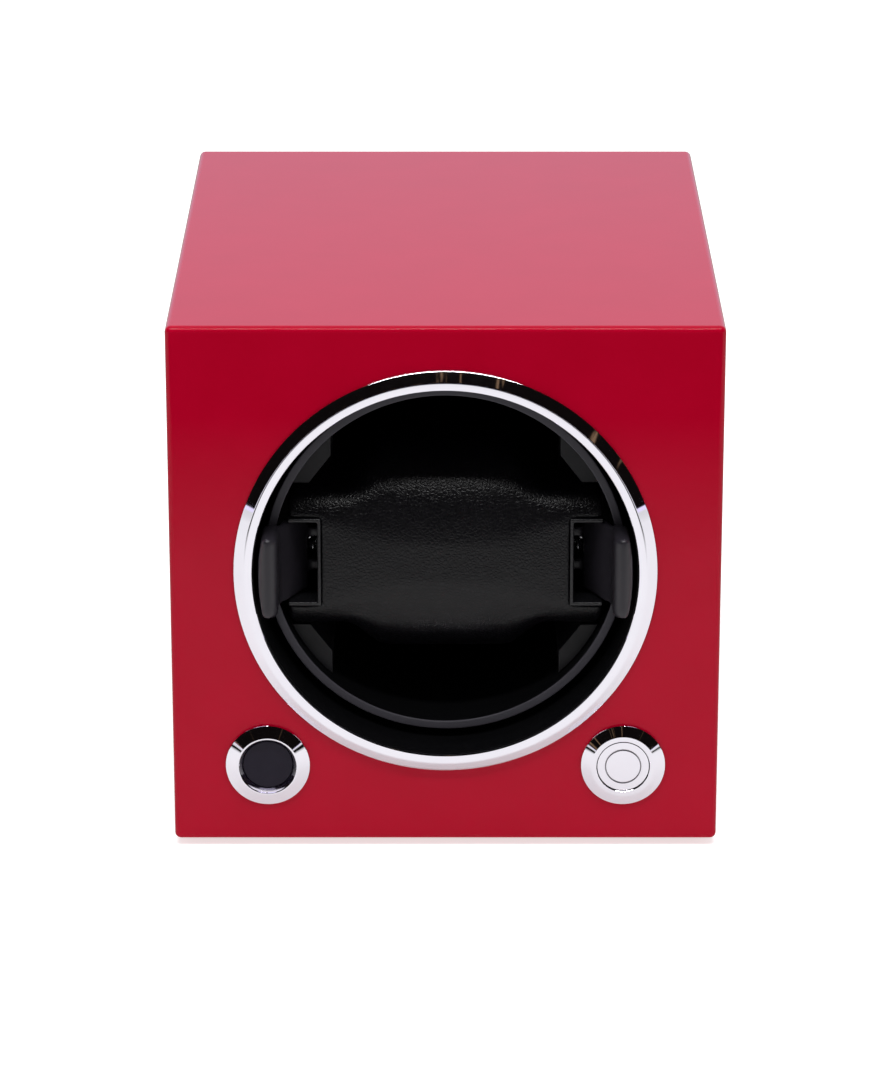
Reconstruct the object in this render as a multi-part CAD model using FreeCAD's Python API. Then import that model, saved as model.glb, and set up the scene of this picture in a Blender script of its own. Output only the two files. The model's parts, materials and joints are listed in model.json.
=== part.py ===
"""A single winder box: a lacquered wooden case with a round window in its front.

Behind the window a motor turns a drum, and a padded cuff slides into the drum.
All sizes are millimetres. X runs left to right as seen from the front, Y runs from the front to the
back and Z runs up. The origin is under the middle of the winder, on the surface that it stands on.
A depth is measured along +Y from the front face of the case.
"""
import FreeCAD
import Part

import math
import os
from FreeCAD import Vector

# Turning drum
DRUM_BORE_RADIUS = 36.2
DRUM_WALL = 1.8
DRUM_FLOOR = 2.5
RIM_STEP = 1.2
CUFF_BACK_ROOM = 9.4
HUB_RADIUS = 8.0

# Fixed housing around the drum
RUNNING_GAP = 2.0
HOUSING_WALL = 1.6
HOUSING_FLOOR = 3.0
HOUSING_GAP = 8.0
HOUSING_FIT = 0.3
TUBE_PROUD = 0.8
EAR_OFFSET = 4.5
EAR_RADIUS = 3.6
EAR_THICKNESS = 3.0
EAR_ANGLE = 25.0

# Bezel ring around the window
BEZEL_WIDTH = 4.0
BEZEL_PROUD = 2.0
BEZEL_EDGE = 0.45
BEZEL_BAND = 1.8
BEZEL_DIP = 0.4
BEZEL_LIP_SETBACK = 0.2
BEZEL_SEAT_GAP = 0.1

# Wooden case
SIDE_MARGIN = 13.3
TOP_MARGIN = 9.15
BOTTOM_MARGIN = 15.95
SIDE_WALL = 7.0
FRONT_WALL = 9.0
EDGE_ROUND = 1.3
REAR_ROOM = 14.6

# Rear panel, its corner blocks and the feet
PANEL_THICKNESS = 4.0
PANEL_RECESS = 2.0
PANEL_FIT = 0.3
BLOCK_SIDE = 10.0
BLOCK_LENGTH = 12.0
FOOT_RADIUS = 5.5
FOOT_HEIGHT = 1.5
FOOT_INSET = 13.0

# Screws
SCREW_RADIUS = 1.2
SCREW_HEAD_RADIUS = 2.4
SCREW_HEAD_HEIGHT = 1.7
SCREW_HOLE_FIT = 0.2
SCREW_PILOT_FIT = 0.05
SCREW_BITE = 6.0
CROSS_SLOT = 0.6
CROSS_DEPTH = 0.8

# Shaft, bushes and gears
SHAFT_RADIUS = 3.0
SHAFT_FIT = 0.05
BUSH_WALL = 1.5
BUSH_FLANGE = 0.8
BUSH_LIP = 1.95
END_PLAY = 0.3
RETAINER_THICKNESS = 0.6
RETAINER_REACH = 2.0
RETAINER_GROOVE = 0.6
RETAINER_MOUTH = 4.0
SHAFT_TAIL = 1.4
GEAR_MODULE = 0.7
GEAR_TEETH = 54
PINION_TEETH = 18
PRESSURE_ANGLE = 20.0
GEAR_WIDTH = 6.0
PINION_WIDTH = 5.6
GEAR_SIDE_GAP = 1.2
GEAR_BACKLASH = 0.14
GEAR_HUB_RADIUS = 6.0
GEAR_WEB = 2.4
GEAR_RIM = 2.6

# Motor, its gearhead and the plate that carries them
PLATE_THICKNESS = 2.5
PLATE_MARGIN = 6.0
POST_REACH = 21.0
POST_RADIUS = 2.8
POST_BITE = 3.4
GEARHEAD_WALL = 1.5
GEARHEAD_LENGTH = 16.0
NOSE_RADIUS = 3.6
NOSE_FIT = 0.15
PINION_SHAFT_RADIUS = 1.5
PINION_SHAFT_SEAT = 5.0
MOTOR_RADIUS = 12.0
MOTOR_LENGTH = 22.0
MOTOR_CAP_RADIUS = 5.0
MOTOR_CAP_LENGTH = 2.0
MOTOR_SCREW_GAP = 0.4
MOTOR_SCREW_BITE = 5.0

# Cradles that hold the cuff in the drum
CRADLE_WIDTH = 12.2
CRADLE_SETBACK = 4.2
CRADLE_CHAMFER = 4.6
CRADLE_RISE = 6.0
CRADLE_GAP = 0.1
WING_FIT = 0.4
WING_SEAT_GAP = 0.3
CRADLE_SCREW_INSET = 6.0
CRADLE_SCREW_ANGLE = 14.5

# Padded cuff
PAD_SETBACK = 6.6
WING_SETBACK = 3.2
WING_BAND = 5.75
WING_BACK_SKIN = 3.4
WING_CORNER = 7.0
ROLL_HALF_WIDTH = 14.0
ROLL_HALF_HEIGHT = 23.5
ROLL_DEPTH = 46.0
ROLL_CORNER = 17.0
ROLL_BLEND = 6.0
PAD_WALL_GAP = 1.0
PAD_SKIN = 4.0
NOTCH_DEPTH = 20.0
CORE_RISE = 0.6
CORE_BACK_GAP = 0.4
CORE_FIT = 0.2
TRIM_WALL = 0.8
TRIM_DEPTH = 6.0
TRIM_PROUD = 0.3

# Release clips at the two ends of the cuff
CLIP_TRAVEL = 2.5
CLIP_STOP_GAP = 0.5
CLIP_SETBACK = 4.7
CLIP_PLATE = 2.4
CLIP_FLARE = 0.2
CLIP_HALF_HEIGHT = 8.6
CLIP_SIDE_GAP = 0.25
CLIP_BACK_GAP = 1.6
CLIP_BEND = 10.5
LIP_CLEARANCE = 1.0
LIP_WIDTH = 4.2
LIP_RISE = 0.3
LIP_DEPTH = 10.5
LIP_BACK_GAP = 0.3
LIP_ROUND = 1.5
STEM_HEIGHT = 2.2
STEM_DEPTH = 6.0
STEM_WALL = 0.3
STEM_REACH = 10.6
STEM_FIT = 0.2
STEM_END_GAP = 0.6
SPRING_WIRE = 0.5
SPRING_RADIUS = 1.5
SPRING_TURNS = 8
SPRING_POCKET = 6.0
SPRING_POCKET_FIT = 0.3
SPRING_NUB_RADIUS = 0.9
SPRING_NUB_LENGTH = 1.2

# Button and indicator in the front of the case
CONTROL_WALL_GAP = 4.6
CONTROL_FLOOR_GAP = 1.85
FLANGE_OVERHANG = 1.9
FLANGE_PROUD = 1.5
FLANGE_EDGE = 0.3
BARREL_WALL = 1.38
BARREL_FIT = 0.15
BARREL_TAIL = 2.0
NUT_WALL = 1.4
NUT_THICKNESS = 4.0
BUTTON_RADIUS = 5.5
BUTTON_FIT = 0.12
BUTTON_LAND = 1.08
BUTTON_RECESS = 0.25
BUTTON_THICKNESS = 4.0
BUTTON_TRAVEL = 1.0
BUTTON_GROOVE_RADIUS = 3.84
BUTTON_GROOVE = 0.25
BUTTON_STEM_RADIUS = 1.8
BUTTON_STEM_GAP = 0.4
BUTTON_SPRING_RADIUS = 2.5
BUTTON_SPRING_WIRE = 0.7
BUTTON_SPRING_TURNS = 7
SWITCH_RADIUS = 6.5
SWITCH_LENGTH = 10.0
SWITCH_PIN_RADIUS = 0.6
SWITCH_PIN_LENGTH = 2.0
LENS_RADIUS = 5.25
LENS_THICKNESS = 2.0
LENS_RECESS = 1.3
LENS_FIT = 0.1
LENS_SLOPE = 0.75
LENS_LAND = 0.3
SPACER_WALL = 1.0
LED_BOARD_THICKNESS = 1.2
LED_SIDE = 1.6
LED_HEIGHT = 0.8
LED_SPREAD = 2.4

# Control board, its pillars and parts
BOARD_BLOCK_GAP = 2.5
BOARD_LENGTH = 40.0
BOARD_THICKNESS = 1.6
BOARD_REAR_GAP = 3.0
PILLAR_RADIUS = 2.8
PILLAR_HEIGHT = 5.0
PILLAR_INSET = 4.0
PILLAR_FRONT_INSET = 12.0
PILLAR_SCREW_GAP = 1.2
SOCKET_WIDTH = 7.0
SOCKET_LENGTH = 5.0
SOCKET_HEIGHT = 5.5
CHIP_SIDE = 10.0
CHIP_HEIGHT = 1.6
CAPACITOR_RADIUS = 3.0
CAPACITOR_HEIGHT = 4.6
CHIP_OFFSET = 12.0

# Power jack in the rear panel
JACK_WALL_GAP = 24.5
JACK_HEIGHT = 34.0
JACK_FLANGE_RADIUS = 6.6
JACK_FLANGE = 1.2
JACK_BARREL_RADIUS = 5.2
JACK_BARREL_FIT = 0.15
JACK_BODY_LENGTH = 11.0
JACK_BORE_RADIUS = 2.9
JACK_BORE_DEPTH = 9.5
JACK_PIN_RADIUS = 1.0
JACK_PIN_SETBACK = 0.8
JACK_NUT_RADIUS = 7.0
JACK_NUT_THICKNESS = 2.2

# Leads inside the case
LEAD_RADIUS = 1.1
LEAD_SHARE = 0.45
LEAD_SIDESTEP = 4.5
LEAD_JACK_RUN = 14.0
LEAD_MOTOR_SIDE = 2.5
SOCKET_EDGE_GAP = 0.5

# Radii that follow from the drum outwards
DRUM_RADIUS = DRUM_BORE_RADIUS + DRUM_WALL
HOUSING_BORE_RADIUS = DRUM_RADIUS + RUNNING_GAP
HOUSING_RADIUS = HOUSING_BORE_RADIUS + HOUSING_WALL
WINDOW_HOLE_RADIUS = HOUSING_RADIUS + HOUSING_FIT
BEZEL_INNER_RADIUS = HOUSING_BORE_RADIUS + BEZEL_LIP_SETBACK
BEZEL_RADIUS = BEZEL_INNER_RADIUS + BEZEL_WIDTH

# Depths that follow from the front to the back
RIM_DEPTH = PAD_SETBACK + RIM_STEP
ROLL_BACK_DEPTH = PAD_SETBACK + ROLL_DEPTH
DRUM_FLOOR_DEPTH = ROLL_BACK_DEPTH + CUFF_BACK_ROOM
DRUM_BACK_DEPTH = DRUM_FLOOR_DEPTH + DRUM_FLOOR
HOUSING_FLOOR_DEPTH = DRUM_BACK_DEPTH + HOUSING_GAP
HOUSING_BACK_DEPTH = HOUSING_FLOOR_DEPTH + HOUSING_FLOOR
GEAR_DEPTH = HOUSING_BACK_DEPTH + GEAR_SIDE_GAP
PLATE_DEPTH = GEAR_DEPTH + GEAR_WIDTH + GEAR_SIDE_GAP
PLATE_BACK_DEPTH = PLATE_DEPTH + PLATE_THICKNESS
GEARHEAD_BACK_DEPTH = PLATE_BACK_DEPTH + GEARHEAD_LENGTH
MOTOR_BACK_DEPTH = GEARHEAD_BACK_DEPTH + MOTOR_LENGTH
PANEL_DEPTH = MOTOR_BACK_DEPTH + REAR_ROOM
CASE_DEPTH = PANEL_DEPTH + PANEL_THICKNESS + PANEL_RECESS

# Case outline
HALF_WIDTH = BEZEL_RADIUS + SIDE_MARGIN
CASE_BASE = FOOT_HEIGHT
AXIS_Z = CASE_BASE + BOTTOM_MARGIN + BEZEL_RADIUS
CASE_TOP = AXIS_Z + BEZEL_RADIUS + TOP_MARGIN
INNER_HALF_WIDTH = HALF_WIDTH - SIDE_WALL
INNER_BASE = CASE_BASE + SIDE_WALL
INNER_TOP = CASE_TOP - SIDE_WALL

# Controls
BUTTON_BORE_RADIUS = BUTTON_RADIUS + BUTTON_FIT
BARREL_RADIUS = BUTTON_BORE_RADIUS + BARREL_WALL
FLANGE_RADIUS = BARREL_RADIUS + FLANGE_OVERHANG
NUT_RADIUS = BARREL_RADIUS + NUT_WALL
CONTROL_X = INNER_HALF_WIDTH - CONTROL_WALL_GAP - NUT_RADIUS
CONTROL_Z = INNER_BASE + CONTROL_FLOOR_GAP + NUT_RADIUS
BARREL_END_DEPTH = FRONT_WALL + NUT_THICKNESS + BARREL_TAIL

# Bearings and drive
BUSH_RADIUS = SHAFT_RADIUS + SHAFT_FIT + BUSH_WALL
GEAR_CENTRES = GEAR_MODULE * (GEAR_TEETH + PINION_TEETH) / 2
PINION_TIP_RADIUS = GEAR_MODULE * (PINION_TEETH / 2 + 1)
MOTOR_Z = AXIS_Z - GEAR_CENTRES
MOTOR_SCREW_X = PINION_TIP_RADIUS + MOTOR_SCREW_GAP + SCREW_HEAD_RADIUS
GEARHEAD_RADIUS = MOTOR_SCREW_X + SCREW_RADIUS + GEARHEAD_WALL

# Clips, the notches that they sit in and the cuff around them
CLIP_OUTER = DRUM_BORE_RADIUS - CLIP_SETBACK
CLIP_INNER = CLIP_OUTER - CLIP_PLATE
CLIP_REST_GAP = CLIP_TRAVEL + CLIP_STOP_GAP
CLIP_BACK_DEPTH = PAD_SETBACK + NOTCH_DEPTH - CLIP_BACK_GAP
NOTCH_INNER = CLIP_INNER - CLIP_REST_GAP
NOTCH_HALF_HEIGHT = CLIP_HALF_HEIGHT + CLIP_SIDE_GAP + TRIM_WALL
WING_HALF_WIDTH = DRUM_BORE_RADIUS - WING_SETBACK
WING_HALF_HEIGHT = NOTCH_HALF_HEIGHT + WING_BAND
WING_BACK_DEPTH = PAD_SETBACK + NOTCH_DEPTH + WING_BACK_SKIN
CORE_HALF_HEIGHT = CLIP_HALF_HEIGHT + CORE_RISE
CORE_FRONT_DEPTH = PAD_SETBACK + PAD_SKIN
CORE_BACK_DEPTH = PAD_SETBACK + NOTCH_DEPTH - CORE_BACK_GAP
LIP_RADIUS = HOUSING_BORE_RADIUS - LIP_CLEARANCE
LIP_INNER = LIP_RADIUS - LIP_WIDTH
LIP_HALF_HEIGHT = CLIP_HALF_HEIGHT + LIP_RISE
LIP_BACK_DEPTH = PAD_SETBACK - TRIM_PROUD - LIP_BACK_GAP
LIP_FRONT_DEPTH = LIP_BACK_DEPTH - LIP_DEPTH
FRONT_Y = -(CASE_DEPTH + LIP_FRONT_DEPTH) / 2
SPRING_POCKET_RADIUS = SPRING_RADIUS + SPRING_WIRE / 2 + SPRING_POCKET_FIT
STEM_RISE = SPRING_POCKET_RADIUS + STEM_WALL + STEM_FIT + STEM_HEIGHT / 2
STEM_MIDDLE_DEPTH = (CORE_FRONT_DEPTH + CORE_BACK_DEPTH) / 2

# Cradles
CRADLE_INNER = DRUM_BORE_RADIUS - CRADLE_WIDTH
CRADLE_FRONT_DEPTH = RIM_DEPTH + CRADLE_SETBACK

# Power jack
JACK_X = INNER_HALF_WIDTH - JACK_WALL_GAP

# Control board
BOARD_HALF_WIDTH = INNER_HALF_WIDTH - BLOCK_SIDE - BOARD_BLOCK_GAP
BOARD_BACK_DEPTH = PANEL_DEPTH - BOARD_REAR_GAP
BOARD_FRONT_DEPTH = BOARD_BACK_DEPTH - BOARD_LENGTH
BOARD_BASE = INNER_BASE + PILLAR_HEIGHT
BOARD_TOP = BOARD_BASE + BOARD_THICKNESS


def y_at(depth):
    """The Y of a depth behind the front face of the case."""
    return FRONT_Y + depth


def box(x0, x1, depth0, depth1, z0, z1):
    """A block between two corners, with its Y given as depths."""
    return Part.makeBox(x1 - x0, depth1 - depth0, z1 - z0, Vector(x0, y_at(depth0), z0))


def rod(radius, depth0, depth1, x=0.0, z=None):
    """A cylinder along Y between two depths, on the drum's axis unless a place is given."""
    height = AXIS_Z if z is None else z
    return Part.makeCylinder(radius, depth1 - depth0, Vector(x, y_at(depth0), height), Vector(0, 1, 0))


def tube(outer, inner, depth0, depth1, x=0.0, z=None):
    """A ring along Y between two depths."""
    return rod(outer, depth0, depth1, x, z).cut(rod(inner, depth0, depth1, x, z))


def turned(profile, x=0.0, z=None):
    """A solid turned about Y from a closed outline of (radius, depth) points."""
    height = AXIS_Z if z is None else z
    points = [Vector(radius, y_at(depth), 0) for radius, depth in profile]
    face = Part.Face(Part.makePolygon(points + points[:1]))
    solid = face.revolve(Vector(0, 0, 0), Vector(0, 1, 0), 360)
    solid.translate(Vector(x, 0, height))
    return solid


def fused(shapes):
    """Several shapes joined into one solid, with coplanar faces merged."""
    first, *rest = shapes
    return (first.multiFuse(rest) if rest else first).removeSplitter()


def screw(x, z, head_depth, tip_depth, slotted=True):
    """A pan-head screw along Y, its head's underside at head_depth and its tip at tip_depth."""
    way = 1 if tip_depth > head_depth else -1
    crown = head_depth - way * SCREW_HEAD_HEIGHT
    head = rod(SCREW_HEAD_RADIUS, min(crown, head_depth), max(crown, head_depth), x, z)
    shank = rod(SCREW_RADIUS, min(head_depth, tip_depth), max(head_depth, tip_depth), x, z)
    solid = head.fuse(shank).removeSplitter()
    if slotted:
        floor = crown + way * CROSS_DEPTH
        near, far = min(crown, floor), max(crown, floor)
        reach = SCREW_HEAD_RADIUS / 2
        half = CROSS_SLOT / 2
        solid = solid.cut(box(x - reach, x + reach, near, far, z - half, z + half))
        solid = solid.cut(box(x - half, x + half, near, far, z - reach, z + reach))
    return solid


def upright_screw(x, depth, head_z, tip_z):
    """A pan-head screw along Z, its head's underside at head_z and its tip below."""
    head = Part.makeCylinder(SCREW_HEAD_RADIUS, SCREW_HEAD_HEIGHT, Vector(x, y_at(depth), head_z))
    shank = Part.makeCylinder(SCREW_RADIUS, head_z - tip_z, Vector(x, y_at(depth), tip_z))
    return head.fuse(shank).removeSplitter()


def corners(half_x, half_z, middle_z):
    """The four corners of a rectangle about X = 0, as (x, z)."""
    return [(sx * half_x, middle_z + sz * half_z) for sx in (-1, 1) for sz in (-1, 1)]


def coil_spring(radius, wire, turns, start, length, way):
    """A coil spring of round wire from a start point along a direction, between its two outer ends."""
    pitch = (length - wire) / turns
    helix = Part.makeHelix(pitch, length - wire, radius)
    section = Part.Wire(Part.Circle(Vector(radius, 0, 0), Vector(0, 1, 0), wire / 2).toShape())
    solid = Part.Wire(helix.Edges).makePipeShell([section], True, True)
    solid.translate(Vector(0, 0, wire / 2))
    solid.rotate(Vector(0, 0, 0), Vector(0, 0, 1).cross(way), 90)
    solid.translate(start)
    return solid


def ear_places():
    """Where the housing's four ears take their screws, as (x, z)."""
    reach = HOUSING_RADIUS + EAR_OFFSET
    angle = math.radians(EAR_ANGLE)
    return corners(reach * math.cos(angle), reach * math.sin(angle), AXIS_Z)


def block_places():
    """Middles of the four corner blocks behind the rear panel, as (x, z)."""
    half_x = INNER_HALF_WIDTH - BLOCK_SIDE / 2
    half_z = (INNER_TOP - INNER_BASE - BLOCK_SIDE) / 2
    return corners(half_x, half_z, (INNER_TOP + INNER_BASE) / 2)


def foot_places():
    """Middles of the four feet, as (x, depth)."""
    half_depth = CASE_DEPTH / 2
    return [(sx * (HALF_WIDTH - FOOT_INSET), half_depth + sd * (half_depth - FOOT_INSET))
            for sx in (-1, 1) for sd in (-1, 1)]


def cabinet_shell():
    """The glued wooden case: four walls and a front with holes for the window and the controls."""
    shell = box(-HALF_WIDTH, HALF_WIDTH, 0, CASE_DEPTH, CASE_BASE, CASE_TOP)
    shell = shell.makeFillet(EDGE_ROUND, shell.Edges)
    room = box(-INNER_HALF_WIDTH, INNER_HALF_WIDTH, FRONT_WALL, CASE_DEPTH, INNER_BASE, INNER_TOP)
    shell = shell.cut(room)
    shell = shell.cut(rod(WINDOW_HOLE_RADIUS, 0, FRONT_WALL))
    for side in (-1, 1):
        shell = shell.cut(rod(BARREL_RADIUS + BARREL_FIT, 0, FRONT_WALL, side * CONTROL_X, CONTROL_Z))
    for x, z in ear_places():
        shell = shell.cut(rod(SCREW_RADIUS + SCREW_PILOT_FIT, FRONT_WALL - SCREW_BITE, FRONT_WALL, x, z))
    return shell


def rubber_feet():
    """Four round feet under the case."""
    bases = [Vector(x, y_at(depth), 0) for x, depth in foot_places()]
    return [Part.makeCylinder(FOOT_RADIUS, FOOT_HEIGHT, base) for base in bases]


def bezel_ring():
    """The chromed ring on the case's front: an outer bevel up to a crest, then a band that dips inwards."""
    crest = BEZEL_INNER_RADIUS + BEZEL_BAND
    seat = WINDOW_HOLE_RADIUS + BEZEL_LIP_SETBACK
    under = -TUBE_PROUD - BEZEL_SEAT_GAP
    return turned([
        (BEZEL_RADIUS, 0),
        (BEZEL_RADIUS, -BEZEL_EDGE),
        (crest, -BEZEL_PROUD),
        (BEZEL_INNER_RADIUS, BEZEL_DIP - BEZEL_PROUD),
        (BEZEL_INNER_RADIUS, under),
        (seat, under),
        (seat, 0),
    ])


def rotor_housing():
    """The black tub that lines the window, screwed to the back of the front by four ears."""
    ears = []
    for x, z in ear_places():
        back = FRONT_WALL + EAR_THICKNESS
        ear = rod(EAR_RADIUS, FRONT_WALL, back, x, z)
        bridge = box(min(0, x), max(0, x), FRONT_WALL, back, z - EAR_RADIUS, z + EAR_RADIUS)
        ears += [ear, bridge]
    tub = fused([rod(HOUSING_RADIUS, -TUBE_PROUD, HOUSING_BACK_DEPTH)] + ears)
    tub = tub.cut(rod(HOUSING_BORE_RADIUS, -TUBE_PROUD, HOUSING_FLOOR_DEPTH))
    tub = tub.cut(rod(BUSH_RADIUS, HOUSING_FLOOR_DEPTH, HOUSING_BACK_DEPTH))
    for x, z in ear_places():
        tub = tub.cut(rod(SCREW_RADIUS + SCREW_HOLE_FIT, FRONT_WALL, FRONT_WALL + EAR_THICKNESS, x, z))
    for x, z in corners(POST_REACH, POST_REACH, AXIS_Z):
        tub = tub.cut(rod(SCREW_RADIUS + SCREW_HOLE_FIT, HOUSING_FLOOR_DEPTH, HOUSING_BACK_DEPTH, x, z))
    return tub


def housing_screws():
    """Wood screws through the housing's ears into the front."""
    seat = FRONT_WALL + EAR_THICKNESS
    return [screw(x, z, seat, seat - EAR_THICKNESS - SCREW_BITE) for x, z in ear_places()]


def post_screws():
    """Screws through the housing's floor into the front ends of the posts."""
    tip = HOUSING_BACK_DEPTH + POST_BITE
    return [screw(x, z, HOUSING_FLOOR_DEPTH, tip) for x, z in corners(POST_REACH, POST_REACH, AXIS_Z)]


def plate_posts():
    """Four posts that carry the motor plate behind the housing."""
    posts = []
    for x, z in corners(POST_REACH, POST_REACH, AXIS_Z):
        post = rod(POST_RADIUS, HOUSING_BACK_DEPTH, PLATE_DEPTH, x, z)
        pilot = SCREW_RADIUS + SCREW_PILOT_FIT
        post = post.cut(rod(pilot, HOUSING_BACK_DEPTH, HOUSING_BACK_DEPTH + POST_BITE, x, z))
        posts.append(post.cut(rod(pilot, PLATE_DEPTH - POST_BITE, PLATE_DEPTH, x, z)))
    return posts


def motor_plate():
    """The plate behind the gears, with holes for the rear bush, the gearhead's nose and the screws."""
    half = POST_REACH + PLATE_MARGIN
    base = MOTOR_Z - GEARHEAD_RADIUS
    plate = box(-half, half, PLATE_DEPTH, PLATE_BACK_DEPTH, base, AXIS_Z + half)
    plate = plate.makeFillet(PLATE_MARGIN / 2, [e for e in plate.Edges if is_along_y(e)])
    plate = plate.cut(rod(BUSH_RADIUS, PLATE_DEPTH, PLATE_BACK_DEPTH))
    plate = plate.cut(rod(NOSE_RADIUS + NOSE_FIT, PLATE_DEPTH, PLATE_BACK_DEPTH, 0, MOTOR_Z))
    places = corners(POST_REACH, POST_REACH, AXIS_Z) + motor_screw_places()
    for x, z in places:
        plate = plate.cut(rod(SCREW_RADIUS + SCREW_HOLE_FIT, PLATE_DEPTH, PLATE_BACK_DEPTH, x, z))
    return plate


def is_along_y(edge):
    """Whether a straight edge runs from front to back."""
    first, last = edge.Vertexes[0].Point, edge.Vertexes[-1].Point
    return abs(first.y - last.y) > max(abs(first.x - last.x), abs(first.z - last.z))


def plate_screws():
    """Screws through the motor plate into the rear ends of the posts."""
    tip = PLATE_DEPTH - POST_BITE
    return [screw(x, z, PLATE_BACK_DEPTH, tip) for x, z in corners(POST_REACH, POST_REACH, AXIS_Z)]


def motor_screw_places():
    """The two screws that hold the gearhead, as (x, z)."""
    return [(-MOTOR_SCREW_X, MOTOR_Z), (MOTOR_SCREW_X, MOTOR_Z)]


def motor_screws():
    """Screws through the plate into the gearhead's face."""
    return [screw(x, z, PLATE_DEPTH, PLATE_BACK_DEPTH + MOTOR_SCREW_BITE) for x, z in motor_screw_places()]


def gearhead():
    """The reduction gearbox on the motor, with a nose that its output shaft turns in."""
    body = rod(GEARHEAD_RADIUS, PLATE_BACK_DEPTH, GEARHEAD_BACK_DEPTH, 0, MOTOR_Z)
    nose = rod(NOSE_RADIUS, PLATE_DEPTH, PLATE_BACK_DEPTH, 0, MOTOR_Z)
    head = fused([body, nose])
    seat = PLATE_BACK_DEPTH + PINION_SHAFT_SEAT + END_PLAY
    head = head.cut(rod(PINION_SHAFT_RADIUS + SHAFT_FIT, PLATE_DEPTH, seat, 0, MOTOR_Z))
    for x, z in motor_screw_places():
        deep = PLATE_BACK_DEPTH + MOTOR_SCREW_BITE
        head = head.cut(rod(SCREW_RADIUS + SCREW_PILOT_FIT, PLATE_BACK_DEPTH, deep, x, z))
    return head


def motor_can():
    """The motor behind the gearhead, with its end cap."""
    can = rod(MOTOR_RADIUS, GEARHEAD_BACK_DEPTH, MOTOR_BACK_DEPTH, 0, MOTOR_Z)
    cap = rod(MOTOR_CAP_RADIUS, MOTOR_BACK_DEPTH, MOTOR_BACK_DEPTH + MOTOR_CAP_LENGTH, 0, MOTOR_Z)
    return fused([can, cap])


def flanged_bush(depth0, depth1, flange_first):
    """A plain bearing for the drum's shaft, with a flange at its first or its last end."""
    flange0 = depth0 - BUSH_FLANGE if flange_first else depth1
    flange = rod(BUSH_RADIUS + BUSH_LIP, flange0, flange0 + BUSH_FLANGE)
    bush = fused([rod(BUSH_RADIUS, depth0, depth1), flange])
    return bush.cut(rod(SHAFT_RADIUS + SHAFT_FIT, depth0 - BUSH_FLANGE, depth1 + BUSH_FLANGE))


def front_bush():
    """The bearing in the housing's floor."""
    return flanged_bush(HOUSING_FLOOR_DEPTH, HOUSING_BACK_DEPTH, True)


def rear_bush():
    """The bearing in the motor plate."""
    return flanged_bush(PLATE_DEPTH, PLATE_BACK_DEPTH, False)


def shaft_clip_depth():
    """Where the clip that keeps the shaft from sliding forward begins."""
    return PLATE_BACK_DEPTH + BUSH_FLANGE + END_PLAY


def drum_shaft():
    """The steel shaft that carries the drum, with a groove for its clip and a tapped front end."""
    groove = shaft_clip_depth()
    end = groove + RETAINER_THICKNESS + SHAFT_TAIL
    shaft = rod(SHAFT_RADIUS, DRUM_FLOOR_DEPTH, end)
    shaft = shaft.cut(tube(SHAFT_RADIUS, SHAFT_RADIUS - RETAINER_GROOVE, groove, groove + RETAINER_THICKNESS))
    return shaft.cut(rod(SCREW_RADIUS + SCREW_PILOT_FIT, DRUM_FLOOR_DEPTH, DRUM_FLOOR_DEPTH + SCREW_BITE))


def shaft_clip():
    """The open ring in the shaft's groove."""
    start = shaft_clip_depth()
    outer = SHAFT_RADIUS + RETAINER_REACH
    ring = tube(outer, SHAFT_RADIUS - RETAINER_GROOVE, start, start + RETAINER_THICKNESS)
    half = RETAINER_MOUTH / 2
    return ring.cut(box(-half, half, start, start + RETAINER_THICKNESS, AXIS_Z - outer, AXIS_Z))


def hub_screw():
    """The screw that holds the drum's floor to the end of its shaft."""
    return screw(0, AXIS_Z, DRUM_FLOOR_DEPTH, DRUM_FLOOR_DEPTH + SCREW_BITE)


def rotor_drum():
    """The turning cup, with a hub that is pressed on the shaft."""
    hub_back = HOUSING_FLOOR_DEPTH - BUSH_FLANGE - END_PLAY
    drum = turned([
        (0, DRUM_FLOOR_DEPTH),
        (DRUM_BORE_RADIUS, DRUM_FLOOR_DEPTH),
        (DRUM_BORE_RADIUS, RIM_DEPTH),
        (DRUM_RADIUS, RIM_DEPTH),
        (DRUM_RADIUS, DRUM_BACK_DEPTH),
        (HUB_RADIUS, DRUM_BACK_DEPTH),
        (HUB_RADIUS, hub_back),
        (0, hub_back),
    ])
    drum = drum.cut(rod(SHAFT_RADIUS, DRUM_FLOOR_DEPTH, hub_back))
    for x, z in cradle_screw_places():
        drum = drum.cut(rod(SCREW_RADIUS + SCREW_HOLE_FIT, DRUM_FLOOR_DEPTH, DRUM_BACK_DEPTH, x, z))
    return drum


def cradle_screw_places():
    """Where the screws of the cradles go through the drum's floor, as (x, z)."""
    reach = DRUM_BORE_RADIUS - CRADLE_SCREW_INSET
    angle = math.radians(CRADLE_SCREW_ANGLE)
    return corners(reach * math.cos(angle), reach * math.sin(angle), AXIS_Z)


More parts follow.
